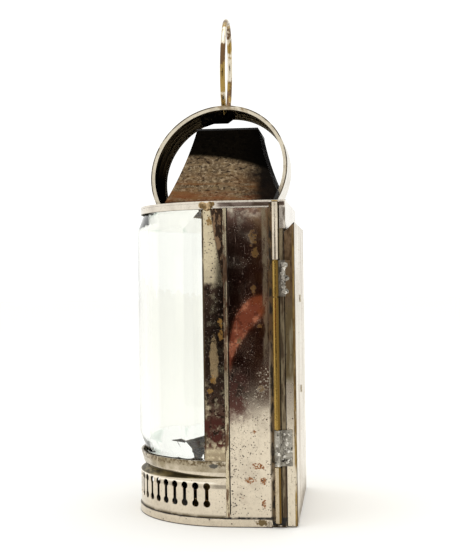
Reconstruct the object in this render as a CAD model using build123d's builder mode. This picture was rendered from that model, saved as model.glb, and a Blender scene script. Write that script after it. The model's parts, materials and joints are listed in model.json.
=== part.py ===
"""Hand candle lantern: D-shaped plated brass case, bowed bevelled glass, hooded flue, hinged rear door.

Frame: the origin is on the base, at the centre of the bowed front. -Y is the glass, +Y the door,
+Z up, and the door's hinge is on the +X side. Millimetres.
"""

import os
from math import acos, cos, degrees, radians, sin

from build123d import *

os.makedirs("parts", exist_ok=True)

# ---------------------------------------------------------------- driving dimensions
# Case
case_radius = 38.5  # outside of the bowed front, and half the width of the case
side_rear = 21.0  # from the centre of the bow back to the rear edge of the flat sides
case_height = 120.0  # base to the top of the crown
sheet = 0.8  # sheet brass of the case, the hood and the door
seam_y = -1.3  # where the bowed front meets the flat sides
bead_width = 1.3  # folded bead that covers the seam
bead_proud = 0.4
lap = 0.05  # film of solder between lapped sheets
bench_gap = 0.3  # daylight between pieces that move past each other

# Base
rim_proud = 0.8  # the base and crown rims stand out from the walls by this
base_rim_height = 3.0
base_forward = 0.7  # the bow of the base pan is centred this far ahead of the window's
rim_rear = 15.8  # the rims stop here, ahead of the hinge

# Vent skirt under the glass
skirt_forward = 1.1  # the bow of the skirt is centred this far ahead of the window's
lip_top = 24.0  # top of the flared lip that holds the glass
flute_depth = 2.6  # deepest point of the pressed crescent, at the front
flute_low = 16.2
flute_apex = 18.0
flute_high = 19.8
flute_shoulder = 1.3  # how far the crescent has come back out at its upper edge
flute_reach = 80.0  # degrees from the front where the crescent dies out
slot_count = 24
slot_sweep = 157.4  # degrees between the first slot and the last
slot_bottom = 8.2  # height of the lower hole of each dumbbell slot
slot_pitch = 6.4  # between its two holes
slot_hole = 2.7  # diameter of each hole
slot_neck = 1.4

# Window
window_half_angle = 76.0  # degrees from the front to the edge of the stile
glass_half_angle = 80.0
glass_edge = 1.2  # thickness of the ground edge
glass_proud = 1.3  # the middle of the glass stands out from the skirt
bevel_width = 7.0
glass_play = 0.4
clip_height = 8.0
clip_inset = 10.0  # from the lip and from the cornice to the nearer end of a clip
clip_sheet = 0.7

# Crown
crown_back = 1.0  # the bow of the crown is centred this far behind the window's
crown_rim_height = 2.7
cornice_height = 3.0
cornice_half_angle = 81.5
apron_height = 10.5
apron_return = 2.2  # how far the apron turns round each rear corner

# Rear door frame
jamb_width = 6.0
sill_height = 5.0
header_height = 14.5  # from the top of the crown down to the door opening

# Hood over the flue
hood_height = 29.6
hood_front = -24.3
hood_rear = 18.4
hood_half_width = 30.0
hood_tuck_height = 4.2  # the rear foot of the hood tucks in below this
hood_tuck = 1.8
flue_front = -13.1
flue_rear = 10.3
flue_half_width = 16.5
hood_hollow = 0.9  # sagitta of the concave faces
flue_ledge = 1.5  # the crown laps this far inside the foot of the hood

# Heat strap
strap_long = 27.7  # half the long axis of its oval outline
strap_short = 24.9  # half the short axis
strap_tilt = 35.2  # degrees that the long axis leans up towards the door
strap_y = -5.25
strap_rise = 12.9  # from the crown up to its centre
strap_width = 29.0
strap_hem_width = 1.2

# Finger ring
ring_wire = 2.0
ring_diameter = 40.0
ring_y = -3.3
ring_rise = 55.3  # from the crown up to its centre
ring_lean = 1.6  # degrees, top towards the door
ring_turn = 2.0  # degrees, the right side towards the door
saddle_width = 9.0
saddle_front = -13.2
saddle_rear = -0.5
saddle_heel = 2.0  # how far its rear corner is folded up under the strap
saddle_drop = 20.1  # from the strap's centre up to the end of the hanging tab

# Hinge
hinge_y = 18.0
tube_diameter = 2.4
pin_diameter = 1.2
pin_play = 0.05  # radial
pin_head = 0.4
knuckle_low = (1.8, 22.4, 35.9)  # foot of the hinge and the next two joints
knuckle_high = (35.6, 22.1)  # the upper two joints, down from the top of the crown
knuckle_gap = 0.3
hinge_web = 1.8

# Door
door_bottom = 0.5
door_depth = 3.7
door_flange_drop = 11.9  # from the top of the crown down to the door's side flange
door_plate_drop = 8.2  # the same to the top of its plate
leaf_sheet = 0.6
leaf_setback = 1.6  # the hinge leaves stop this far short of the back of the door

# Reflector on the inside of the door
reflector_radius = 60.0
reflector_half_width = 27.0
reflector_bottom = 30.0
reflector_drop = 20.0  # from the top of the crown down to the reflector
rivet_inset = 17.0  # from the reflector's ends to the nearer rivet
rivet_diameter = 1.6
rivet_head = 3.2
rivet_head_height = 0.5

# Latch
latch_y = 9.5
latch_z = 62.0
latch_sheet = 0.8
latch_arm = 3.4  # height of the arm
latch_raised = 45.0  # degrees, as left when the door is free
latch_pin = 1.6
tab_length = 3.0

# Candle and its holder
candle_y = -4.0
candle_diameter = 20.0
candle_length = 62.0
candle_play = 0.4
cup_height = 15.0
pan_radius = 17.0
pan_height = 4.0
pan_sheet = 0.6
wick_diameter = 1.4
wick_length = 8.0
wick_sink = 4.0

# ---------------------------------------------------------------- derived places
crown_underside = case_height - sheet
apron_bottom = case_height - apron_height
header_bottom = case_height - header_height
hood_top = case_height + hood_height
strap_z = case_height + strap_rise
ring_z = case_height + ring_rise
door_flange_top = case_height - door_flange_drop
door_plate_top = case_height - door_plate_drop
reflector_top = case_height - reflector_drop
rivet_heights = (reflector_bottom + rivet_inset, reflector_top - rivet_inset)
rim_radius = case_radius + rim_proud
wall_inside = case_radius - sheet
front_half_angle = degrees(acos((lap - seam_y) / wall_inside))
skirt_half_angle = degrees(acos((lap - seam_y - skirt_forward) / wall_inside))
cornice_bottom = case_height - cornice_height
clip_heights = (lip_top + clip_inset, cornice_bottom - clip_inset - clip_height)
glass_land = wall_inside - glass_play
glass_inside = glass_land - glass_edge
glass_outside = case_radius + glass_proud
tube_radius = tube_diameter / 2
hinge_x = case_radius + bench_gap + tube_radius
door_front = side_rear + bench_gap
door_rear = door_front + door_depth
apron_front = side_rear + lap
apron_rear = apron_front + sheet
ring_radius = (ring_diameter - ring_wire) / 2
knuckle_ends = (*knuckle_low, *[case_height - drop for drop in knuckle_high], case_height - pin_head - bench_gap)
latch_reach = (door_front + door_rear) / 2 - latch_y


def ray(angle, centre_y=0.0):
    """An upright plane through a bow's centre at this angle: local x is the radius, local y is up."""
    turn = radians(angle)
    return Plane(origin=(0, centre_y, 0), x_dir=(cos(turn), sin(turn), 0), z_dir=(sin(turn), -cos(turn), 0))


def front_ray(half_angle, centre_y=0.0):
    """Where a strip round the front starts, so that it ends as far round on the other side."""
    return ray(270 - half_angle, centre_y)


def bow_axis(centre_y):
    """The upright axis through a bow's centre."""
    return Axis((0, centre_y, 0), (0, 0, 1))


def block(low_x, low_y, high_x, high_y):
    """A rectangle from its two corners."""
    with BuildSketch() as face:
        with Locations(((low_x + high_x) / 2, (low_y + high_y) / 2)):
            Rectangle(high_x - low_x, high_y - low_y)
    return face.sketch


def bow(radius, rear, centre_y=0.0):
    """The plan of the case: half a circle at the front and straight sides back to the rear."""
    with BuildSketch() as face:
        with BuildLine():
            Polyline((radius, centre_y), (radius, rear), (-radius, rear), (-radius, centre_y))
            ThreePointArc((-radius, centre_y), (0, centre_y - radius), (radius, centre_y))
        make_face()
    return face.sketch


def strap_oval(inset):
    """The strap's outline seen from the side, set in by this much."""
    with BuildSketch() as face:
        with Locations((strap_y, strap_z)):
            Ellipse(strap_long - inset, strap_short - inset, rotation=strap_tilt)
    return face.sketch


def polar(radius, angle):
    """A point of the plan, at this angle from the front, towards +X."""
    return (radius * sin(radians(angle)), -radius * cos(radians(angle)))


# ---------------------------------------------------------------- base pan
with BuildPart() as base_pan:
    with BuildSketch():
        add(bow(rim_radius, rim_rear, -base_forward))
        add(bow(case_radius, side_rear, -base_forward))
        with Locations((0, candle_y)):
            Circle(rivet_diameter / 2 + lap, mode=Mode.SUBTRACT)
    extrude(amount=sheet)
    with BuildSketch(Plane.XY.offset(sheet)):
        add(bow(rim_radius, rim_rear, -base_forward))
        add(bow(case_radius + lap, side_rear, -skirt_forward), mode=Mode.SUBTRACT)
    extrude(amount=base_rim_height - sheet)
    rim_top = base_pan.faces().sort_by(Axis.Z)[-1].outer_wire().edges().filter_by(GeomType.CIRCLE)
    fillet(rim_top.sort_by(Axis.Y)[0], rim_proud / 4)
base_pan.part.label = "base_pan"

# ---------------------------------------------------------------- vent skirt
# The crescent is pressed along a circle that is larger than the skirt and centred behind it, so it is
# deepest at the front and dies out at both ends.
flute_spread = 1 - cos(radians(flute_reach))
flute_back = flute_depth * (case_radius - flute_depth / 2) / (case_radius * flute_spread - flute_depth)
flute_radius = case_radius - flute_depth + flute_back


def skirt_form(inset):
    """The skirt as a solid body, its surface set in by this much."""
    surface = flute_radius - inset
    outer = surface + 3 * flute_depth
    with BuildPart() as form:
        with BuildSketch(front_ray(skirt_half_angle, -skirt_forward)):
            add(block(0, sheet, case_radius - inset, lip_top))
        revolve(axis=bow_axis(-skirt_forward), revolution_arc=2 * skirt_half_angle)
        with BuildSketch(front_ray(90, flute_back - skirt_forward)):
            with BuildLine():
                Polyline(
                    (surface + flute_depth, lip_top + sheet),
                    (surface + flute_shoulder, flute_high),
                    (surface, flute_apex),
                    (surface + flute_depth, flute_low),
                    (outer, flute_low),
                    (outer, lip_top + sheet),
                    close=True,
                )
            make_face()
        revolve(axis=bow_axis(flute_back - skirt_forward), revolution_arc=180, mode=Mode.SUBTRACT)
    return form.part


slot_step = slot_sweep / (slot_count - 1)
slot_planes = []
for number in range(slot_count):
    slot_angle = number * slot_step - slot_sweep / 2
    outward = polar(1, slot_angle)
    foot = polar(wall_inside - sheet, slot_angle)
    slot_planes.append(
        Plane(
            origin=(foot[0], foot[1] - skirt_forward, slot_bottom),
            x_dir=(-outward[1], outward[0], 0),
            z_dir=(*outward, 0),
        )
    )

skirt_outer = skirt_form(0)
skirt_inner = skirt_form(sheet)
with BuildPart() as vent_skirt:
    add(skirt_outer)
    add(skirt_inner, mode=Mode.SUBTRACT)
    with BuildSketch(*slot_planes):
        Circle(slot_hole / 2)
        with Locations((0, slot_pitch)):
            Circle(slot_hole / 2)
        add(block(-slot_neck / 2, 0, slot_neck / 2, slot_pitch))
    extrude(amount=3 * sheet, mode=Mode.SUBTRACT)
vent_skirt.part.label = "vent_skirt"

# ---------------------------------------------------------------- side walls
wall_height = crown_underside - sheet
with BuildPart() as side_wall_right:
    with BuildSketch(Plane.XY.offset(sheet)):
        add(block(wall_inside, seam_y, case_radius, side_rear))
    extrude(amount=wall_height)
    with BuildSketch(Plane.XY.offset(base_rim_height + lap)):
        add(block(case_radius - lap, seam_y, case_radius + bead_proud, seam_y + bead_width))
    extrude(amount=case_height - crown_rim_height - base_rim_height - 2 * lap)
    fillet(side_wall_right.edges().filter_by(Axis.Z).sort_by(Axis.X)[-2:], bead_proud / 2)
side_wall_right.part.label = "side_wall_right"

with BuildPart() as side_wall_left:
    add(mirror(side_wall_right.part, about=Plane.YZ))
    with BuildSketch(Plane.YZ.offset(-case_radius - sheet)):
        with Locations((latch_y, latch_z)):
            Circle(latch_pin / 2 + lap)
    extrude(amount=3 * sheet, mode=Mode.SUBTRACT)
side_wall_left.part.label = "side_wall_left"

# ---------------------------------------------------------------- stiles beside the window
with BuildPart() as stile_right:
    with BuildSketch(ray(270 + window_half_angle)):
        add(block(wall_inside, lip_top + lap, case_radius, cornice_bottom - lap))
    revolve(axis=Axis.Z, revolution_arc=front_half_angle - window_half_angle)
stile_right.part.label = "stile_right"

with BuildPart() as stile_left:
    add(mirror(stile_right.part, about=Plane.YZ))
stile_left.part.label = "stile_left"

# ---------------------------------------------------------------- frame round the door opening
with BuildPart() as door_frame:
    with BuildSketch(Plane.XZ.offset(-side_rear)):
        add(block(-wall_inside + lap, sheet, wall_inside - lap, crown_underside))
        jamb_inside = wall_inside - jamb_width
        add(block(-jamb_inside, sill_height, jamb_inside, header_bottom), mode=Mode.SUBTRACT)
    extrude(amount=sheet)
door_frame.part.label = "door_frame"

# ---------------------------------------------------------------- crown
flue_low_x = hood_half_width - flue_ledge
flue_low_front = hood_front + flue_ledge
flue_low_rear = hood_rear - hood_tuck - flue_ledge
return_front = apron_rear - apron_return
cornice_clear = 2 * case_radius
cornice_end_x, cornice_end_y = polar(cornice_clear, cornice_half_angle)

with BuildPart() as crown_plate:
    with BuildSketch(Plane.XY.offset(crown_underside)):
        add(bow(rim_radius, rim_rear, crown_back))
        add(block(-case_radius, 0, case_radius, apron_rear))
        add(block(-rim_radius, return_front, rim_radius, apron_rear))
        add(block(-flue_low_x, flue_low_front, flue_low_x, flue_low_rear), mode=Mode.SUBTRACT)
    extrude(amount=sheet)
    with BuildSketch(Plane.XY.offset(case_height - crown_rim_height)):
        add(bow(rim_radius, rim_rear, crown_back))
        add(bow(case_radius + lap, side_rear), mode=Mode.SUBTRACT)
        with BuildLine():
            Polyline(
                (0, crown_back),
                (cornice_end_x, crown_back + cornice_end_y),
                (cornice_clear, -cornice_clear),
                (-cornice_clear, -cornice_clear),
                (-cornice_end_x, crown_back + cornice_end_y),
                close=True,
            )
        make_face(mode=Mode.SUBTRACT)
    extrude(amount=crown_rim_height - sheet)
    with BuildSketch(Plane.XY.offset(apron_bottom)):
        add(block(-rim_radius, return_front, rim_radius, apron_rear))
        add(block(-case_radius - lap, 0, case_radius + lap, apron_front), mode=Mode.SUBTRACT)
    extrude(amount=crown_underside - apron_bottom)
    rear_corners = crown_plate.edges().filter_by(Axis.Z).group_by(Axis.Y)[-1]
    fillet(rear_corners, sheet)
crown_plate.part.label = "crown_plate"

with BuildPart() as front_cornice:
    cornice_sweep = cornice_half_angle - degrees(lap / case_radius)
    with BuildSketch(front_ray(cornice_sweep, crown_back)):
        add(block(case_radius + lap, cornice_bottom, rim_radius, crown_underside))
    revolve(axis=bow_axis(crown_back), revolution_arc=2 * cornice_sweep)
    fillet(front_cornice.faces().sort_by(Axis.Z)[0].edges().sort_by(Axis.Y)[0], rim_proud / 4)
front_cornice.part.label = "front_cornice"


# ---------------------------------------------------------------- hood over the flue
def hood_form(inset):
    """The hood as a solid body, its four concave faces set in by this much."""
    foot_rear = hood_rear - inset
    tuck_z = case_height + hood_tuck_height
    with BuildPart() as form:
        with BuildSketch(Plane.YZ.offset(-hood_half_width)):
            with BuildLine():
                Polyline(
                    (flue_front + inset, hood_top),
                    (flue_rear - inset, hood_top),
                )
                SagittaArc((flue_rear - inset, hood_top), (foot_rear, tuck_z), -hood_hollow)
                Polyline(
                    (foot_rear, tuck_z),
                    (foot_rear - hood_tuck, case_height),
                    (hood_front + inset, case_height),
                )
                SagittaArc((hood_front + inset, case_height), (flue_front + inset, hood_top), -hood_hollow)
            make_face()
        extrude(amount=2 * hood_half_width)
        with BuildSketch(Plane.XZ.offset(-2 * case_radius)):
            foot_x = hood_half_width - inset
            mouth_x = flue_half_width - inset
            with BuildLine():
                Line((-mouth_x, hood_top), (mouth_x, hood_top))
                SagittaArc((mouth_x, hood_top), (foot_x, case_height), -hood_hollow)
                Line((foot_x, case_height), (-foot_x, case_height))
                SagittaArc((-foot_x, case_height), (-mouth_x, hood_top), -hood_hollow)
            make_face()
        extrude(amount=4 * case_radius, mode=Mode.INTERSECT)
    return form.part


hood_outer = hood_form(0)
hood_inner = hood_form(sheet)
with BuildPart() as flue_hood:
    add(hood_outer)
    add(hood_inner, mode=Mode.SUBTRACT)
    # The rear foot of the strap stands in a notch of the hood.
    with BuildSketch(Plane.YZ.offset(-strap_width / 2 - bench_gap)):
        add(strap_oval(-2 * bench_gap))
        add(strap_oval(2 * sheet + bench_gap), mode=Mode.SUBTRACT)
    extrude(amount=strap_width + 2 * bench_gap, mode=Mode.SUBTRACT)
flue_hood.part.label = "flue_hood"

# ---------------------------------------------------------------- heat strap, its ring and saddle
ring_place = Location((0, ring_y, ring_z), (90 - ring_lean, 0, ring_turn), Extrinsic.XYZ)

with BuildPart() as heat_strap:
    with BuildSketch(Plane.YZ.offset(-strap_width / 2)):
        add(strap_oval(0))
        add(strap_oval(sheet), mode=Mode.SUBTRACT)
        add(block(-case_radius, 0, case_radius, case_height), mode=Mode.SUBTRACT)
    extrude(amount=strap_width)
    with BuildSketch(Plane.YZ.offset(-strap_width / 2), Plane.YZ.offset(strap_width / 2 - strap_hem_width)):
        add(strap_oval(0))
        add(strap_oval(2 * sheet), mode=Mode.SUBTRACT)
        add(block(-case_radius, 0, case_radius, case_height), mode=Mode.SUBTRACT)
    extrude(amount=strap_hem_width)
    with Locations(ring_place):
        Torus(ring_radius, ring_wire / 2 + lap, mode=Mode.SUBTRACT)
heat_strap.part.label = "heat_strap"

with BuildPart() as finger_ring:
    with Locations(ring_place):
        Torus(ring_radius, ring_wire / 2)
finger_ring.part.label = "finger_ring"

saddle_bottom = ring_z - ring_radius - ring_wire
with BuildPart() as ring_saddle:
    with BuildSketch(Plane.YZ.offset(-saddle_width / 2)):
        with BuildLine():
            Polyline(
                (saddle_front, strap_z + saddle_drop),
                (saddle_front + 2 * ring_wire, saddle_bottom),
                (ring_y, saddle_bottom),
                (saddle_rear, saddle_bottom + saddle_heel),
                (saddle_rear, ring_z),
                (saddle_front, ring_z),
                close=True,
            )
        make_face()
        add(strap_oval(sheet + lap), mode=Mode.INTERSECT)
    extrude(amount=saddle_width)
    with Locations(ring_place):
        Torus(ring_radius, ring_wire / 2 + lap, mode=Mode.SUBTRACT)
ring_saddle.part.label = "ring_saddle"

# ---------------------------------------------------------------- bevelled glass and its clips
glass_bottom = lip_top - sheet
glass_top = cornice_bottom + sheet
bevel_angle = degrees(bevel_width / case_radius)

with BuildPart() as bevelled_glass:
    with BuildSketch(front_ray(glass_half_angle)):
        with BuildLine():
            Polyline(
                (glass_inside, glass_bottom),
                (glass_land, glass_bottom),
                (glass_land, lip_top + glass_play),
                (glass_outside, lip_top + bevel_width),
                (glass_outside, cornice_bottom - bevel_width),
                (glass_land, cornice_bottom - glass_play),
                (glass_land, glass_top),
                (glass_inside, glass_top),
                close=True,
            )
        make_face()
    revolve(axis=Axis.Z, revolution_arc=2 * glass_half_angle)
    for side in (1, -1):
        bevel_start = side * (window_half_angle - bevel_angle)
        bevel_end = side * (window_half_angle - degrees(glass_play / case_radius))
        with BuildSketch():
            with BuildLine():
                Polyline(
                    polar(glass_outside, bevel_start),
                    polar(glass_land, bevel_end),
                    polar(2 * case_radius, bevel_end),
                    polar(2 * case_radius, bevel_start),
                    close=True,
                )
            make_face()
        extrude(amount=case_height, mode=Mode.SUBTRACT)
    for start in (270 - glass_half_angle, 270 + window_half_angle - degrees(glass_play / case_radius)):
        with BuildSketch(ray(start)):
            add(block(glass_land, 0, 2 * case_radius, case_height))
        land_arc = glass_half_angle - window_half_angle + degrees(glass_play / case_radius)
        revolve(axis=Axis.Z, revolution_arc=land_arc, mode=Mode.SUBTRACT)
bevelled_glass.part.label = "bevelled_glass"

clip_gap = degrees(lap / case_radius)
clip_post = degrees(2 * clip_sheet / case_radius)
with BuildPart() as glass_clips:
    for side in (0, 1):
        post_start = 270 + glass_half_angle + clip_gap if side else 270 - glass_half_angle - clip_gap - clip_post
        tab_start = post_start - 2 * clip_post if side else post_start
        for height in clip_heights:
            with BuildSketch(ray(post_start)):
                add(block(glass_inside - lap - clip_sheet, height, wall_inside - lap, height + clip_height))
            revolve(axis=Axis.Z, revolution_arc=clip_post)
            with BuildSketch(ray(tab_start)):
                back = glass_inside - lap
                add(block(back - clip_sheet, height, back, height + clip_height))
            revolve(axis=Axis.Z, revolution_arc=3 * clip_post)
glass_clips.part.label = "glass_clips"

# ---------------------------------------------------------------- hinge
knuckle_names = (
    "hinge_knuckle_foot",
    "door_knuckle_lower",
    "hinge_knuckle_middle",
    "door_knuckle_upper",
    "hinge_knuckle_head",
)
knuckles = []
for number, name in enumerate(knuckle_names):
    low = knuckle_ends[number] + knuckle_gap / 2
    high = knuckle_ends[number + 1] - knuckle_gap / 2
    with BuildPart() as knuckle:
        with BuildSketch(Plane.XY.offset(low)):
            with Locations((hinge_x, hinge_y)):
                Circle(tube_radius)
            if name.startswith("door"):
                leaf_front = hinge_x - tube_radius + lap
                add(block(leaf_front, hinge_y, leaf_front + leaf_sheet, door_rear - leaf_setback))
            else:
                add(block(case_radius, hinge_y - hinge_web / 2, hinge_x, hinge_y + hinge_web / 2))
            with Locations((hinge_x, hinge_y)):
                Circle(pin_diameter / 2 + pin_play, mode=Mode.SUBTRACT)
        extrude(amount=high - low)
    knuckle.part.label = name
    knuckles.append(knuckle.part)

with BuildPart() as hinge_pin:
    with BuildSketch(Plane.XY.offset(knuckle_ends[0] - pin_head / 2)):
        with Locations((hinge_x, hinge_y)):
            Circle(pin_diameter / 2)
    extrude(amount=knuckle_ends[-1] - knuckle_ends[0] + pin_head / 2)
    with BuildSketch(Plane.XY.offset(knuckle_ends[-1])):
        with Locations((hinge_x, hinge_y)):
            Circle(tube_radius - lap)
    extrude(amount=pin_head)
hinge_pin.part.label = "hinge_pin"

# ---------------------------------------------------------------- door
with BuildPart() as door_pan:
    with BuildSketch(Plane.YZ.offset(-case_radius)):
        with BuildLine():
            Polyline(
                (door_front, door_bottom),
                (door_rear, door_bottom),
                (door_rear, door_plate_top),
                (door_front, door_flange_top),
                close=True,
            )
        make_face()
    extrude(amount=2 * case_radius)
    back_edges = door_pan.edges().filter_by(Axis.Z).group_by(Axis.Y)[-1]
    fillet(back_edges, sheet)
    with BuildSketch(Plane.XY.offset(door_bottom + sheet)):
        add(block(-wall_inside, 0, wall_inside, door_rear - sheet))
    extrude(amount=case_height, mode=Mode.SUBTRACT)
    with BuildSketch(Plane.XZ.offset(-door_rear)):
        with Locations(*[(0, height) for height in rivet_heights]):
            Circle(rivet_diameter / 2 + lap)
    extrude(amount=2 * sheet, mode=Mode.SUBTRACT)
    with BuildSketch(Plane.YZ.offset(-case_radius)):
        with Locations((latch_y + latch_reach, latch_z)):
            Circle(latch_pin / 2 + lap)
    extrude(amount=2 * sheet, mode=Mode.SUBTRACT)
door_pan.part.label = "door_pan"

with BuildPart() as door_solder:
    solder_high = hinge_x - tube_radius + lap
    for number in (1, 3):
        low = knuckle_ends[number] + 1.5 * knuckle_gap
        high = knuckle_ends[number + 1] - 1.5 * knuckle_gap
        with BuildSketch(Plane.XY.offset(low)):
            add(block(case_radius, door_front, solder_high, door_rear - leaf_setback))
        extrude(amount=high - low)
door_solder.part.label = "door_solder"

reflector_y = door_rear - sheet - lap - reflector_radius
with BuildPart() as reflector:
    with BuildSketch(Plane.XY.offset(reflector_bottom)):
        with Locations((0, reflector_y)):
            Circle(reflector_radius)
            Circle(reflector_radius - pan_sheet, mode=Mode.SUBTRACT)
        add(block(-reflector_half_width, 0, reflector_half_width, case_radius), mode=Mode.INTERSECT)
    extrude(amount=reflector_top - reflector_bottom)
    with BuildSketch(Plane.XZ.offset(-door_rear)):
        with Locations(*[(0, height) for height in rivet_heights]):
            Circle(rivet_diameter / 2 + lap)
    extrude(amount=2 * door_depth, mode=Mode.SUBTRACT)
reflector.part.label = "reflector"

with BuildPart() as reflector_rivets:
    shank_front = door_rear - sheet - lap - pan_sheet - lap
    for height in rivet_heights:
        with BuildSketch(Plane.XZ.offset(-shank_front)):
            with Locations((0, height)):
                Circle(rivet_diameter / 2)
        extrude(amount=-(door_rear + lap - shank_front))
        with BuildSketch(Plane.XZ.offset(-shank_front)):
            with Locations((0, height)):
                Circle(rivet_head / 2)
        extrude(amount=rivet_head_height)
        with BuildSketch(Plane.XZ.offset(-door_rear - lap)):
            with Locations((0, height)):
                Circle(rivet_head / 2)
        extrude(amount=-rivet_head_height)
reflector_rivets.part.label = "reflector_rivets"

# ---------------------------------------------------------------- latch on the left side
hook_face = case_radius + bench_gap
stud_end = hook_face + latch_sheet + bench_gap

with BuildPart() as latch_stud:
    with BuildSketch(Plane.YZ.offset(-wall_inside + lap)):
        with Locations((latch_y, latch_z)):
            Circle(rivet_head / 2)
    extrude(amount=rivet_head_height)
    with BuildSketch(Plane.YZ.offset(-wall_inside + lap)):
        with Locations((latch_y, latch_z)):
            Circle(latch_pin / 2)
    extrude(amount=-(stud_end - wall_inside + lap))
    with BuildSketch(Plane.YZ.offset(-stud_end)):
        with Locations((latch_y, latch_z)):
            Circle(rivet_head / 2)
    extrude(amount=-rivet_head_height)
latch_stud.part.label = "latch_stud"

with BuildPart() as catch_pin:
    with BuildSketch(Plane.YZ.offset(-wall_inside + lap)):
        with Locations((latch_y + latch_reach, latch_z)):
            Circle(latch_pin / 2)
    extrude(amount=-(stud_end - wall_inside + lap))
catch_pin.part.label = "catch_pin"

# Drawn along the arm, from the stud to the catch pin, with local y downwards when it is shut.
raised = radians(latch_raised)
arm_plane = Plane(origin=(-hook_face, latch_y, latch_z), x_dir=(0, cos(raised), sin(raised)), z_dir=(-1, 0, 0))
notch_half = latch_pin / 2 + bench_gap
tab_start = latch_reach + latch_arm
with BuildPart() as latch_hook:
    with BuildSketch(arm_plane):
        add(block(0, -latch_arm / 2, tab_start, latch_arm / 2))
        Circle(latch_arm / 2 + bench_gap)
        add(block(latch_reach - notch_half, 0, latch_reach + notch_half, latch_arm), mode=Mode.SUBTRACT)
        with Locations((latch_reach, 0)):
            Circle(notch_half, mode=Mode.SUBTRACT)
        Circle(latch_pin / 2 + pin_play, mode=Mode.SUBTRACT)
    extrude(amount=latch_sheet)
    with BuildSketch(arm_plane):
        add(block(tab_start - latch_sheet, -latch_arm / 2, tab_start, latch_arm / 2))
    extrude(amount=tab_length)
latch_hook.part.label = "latch_hook"

# ---------------------------------------------------------------- candle and its holder
with BuildPart() as drip_pan:
    with BuildSketch(Plane.XY.offset(sheet + lap)):
        with Locations((0, candle_y)):
            Circle(pan_radius)
            Circle(rivet_diameter / 2 + lap, mode=Mode.SUBTRACT)
    extrude(amount=pan_sheet)
    with BuildSketch(Plane.XY.offset(sheet + lap)):
        with Locations((0, candle_y)):
            Circle(pan_radius)
            Circle(pan_radius - pan_sheet, mode=Mode.SUBTRACT)
    extrude(amount=pan_height)
drip_pan.part.label = "drip_pan"

cup_floor = sheet + pan_sheet + 2 * lap
cup_inside = candle_diameter / 2 + candle_play
with BuildPart() as candle_cup:
    with BuildSketch(Plane.XY.offset(cup_floor)):
        with Locations((0, candle_y)):
            Circle(cup_inside + pan_sheet)
            Circle(rivet_diameter / 2 + lap, mode=Mode.SUBTRACT)
    extrude(amount=pan_sheet)
    with BuildSketch(Plane.XY.offset(cup_floor)):
        with Locations((0, candle_y)):
            Circle(cup_inside + pan_sheet)
            Circle(cup_inside, mode=Mode.SUBTRACT)
    extrude(amount=cup_height)
candle_cup.part.label = "candle_cup"

cup_rivet_top = cup_floor + pan_sheet + lap
with BuildPart() as cup_rivet:
    with BuildSketch(Plane.XY.offset(lap)):
        with Locations((0, candle_y)):
            Circle(rivet_diameter / 2)
    extrude(amount=cup_rivet_top - lap)
    with BuildSketch(Plane.XY.offset(cup_rivet_top)):
        with Locations((0, candle_y)):
            Circle(rivet_head / 2)
    extrude(amount=rivet_head_height)
cup_rivet.part.label = "cup_rivet"

candle_bottom = cup_rivet_top + rivet_head_height + lap
candle_top = candle_bottom + candle_length
with BuildPart() as candle:
    with BuildSketch(Plane.XY.offset(candle_bottom)):
        with Locations((0, candle_y)):
            Circle(candle_diameter / 2)
    extrude(amount=candle_length)
    fillet(candle.faces().sort_by(Axis.Z)[-1].edges(), wick_diameter)
    with BuildSketch(Plane.XY.offset(candle_top - wick_sink)):
        with Locations((0, candle_y)):
            Circle(wick_diameter / 2)
    extrude(amount=wick_sink, mode=Mode.SUBTRACT)
candle.part.label = "candle"

with BuildPart() as wick:
    with BuildSketch(Plane.XY.offset(candle_top - wick_sink)):
        with Locations((0, candle_y)):
            Circle(wick_diameter / 2)
    extrude(amount=wick_sink + wick_length)
wick.part.label = "wick"

# ---------------------------------------------------------------- one STEP file for each piece
pieces = [
    base_pan.part,
    vent_skirt.part,
    side_wall_right.part,
    side_wall_left.part,
    stile_right.part,
    stile_left.part,
    door_frame.part,
    crown_plate.part,
    front_cornice.part,
    flue_hood.part,
    heat_strap.part,
    finger_ring.part,
    ring_saddle.part,
    bevelled_glass.part,
    glass_clips.part,
    *knuckles,
    hinge_pin.part,
    door_pan.part,
    door_solder.part,
    reflector.part,
    reflector_rivets.part,
    latch_stud.part,
    catch_pin.part,
    latch_hook.part,
    drip_pan.part,
    candle_cup.part,
    cup_rivet.part,
    candle.part,
    wick.part,
]
for piece in pieces:
    export_step(piece, f"parts/{piece.label}.step")
print(f"{len(pieces)} pieces, {case_height} high to the crown")
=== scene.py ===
# %% [markdown]
# # A candle lantern, finished in Blender
# The lantern's metalwork arrives as fixed solids in metres. This lesson softens their edges, lays
# worn nickel plate, brass, soot, solder, wax and glass over them, and adds the small pieces that
# a workbench leaves behind, such as lumps of solder and the wax that has run down the candle.

# %% Load the frame
import json
import math
from types import SimpleNamespace

import bpy
from mathutils import Matrix, Vector

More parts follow.
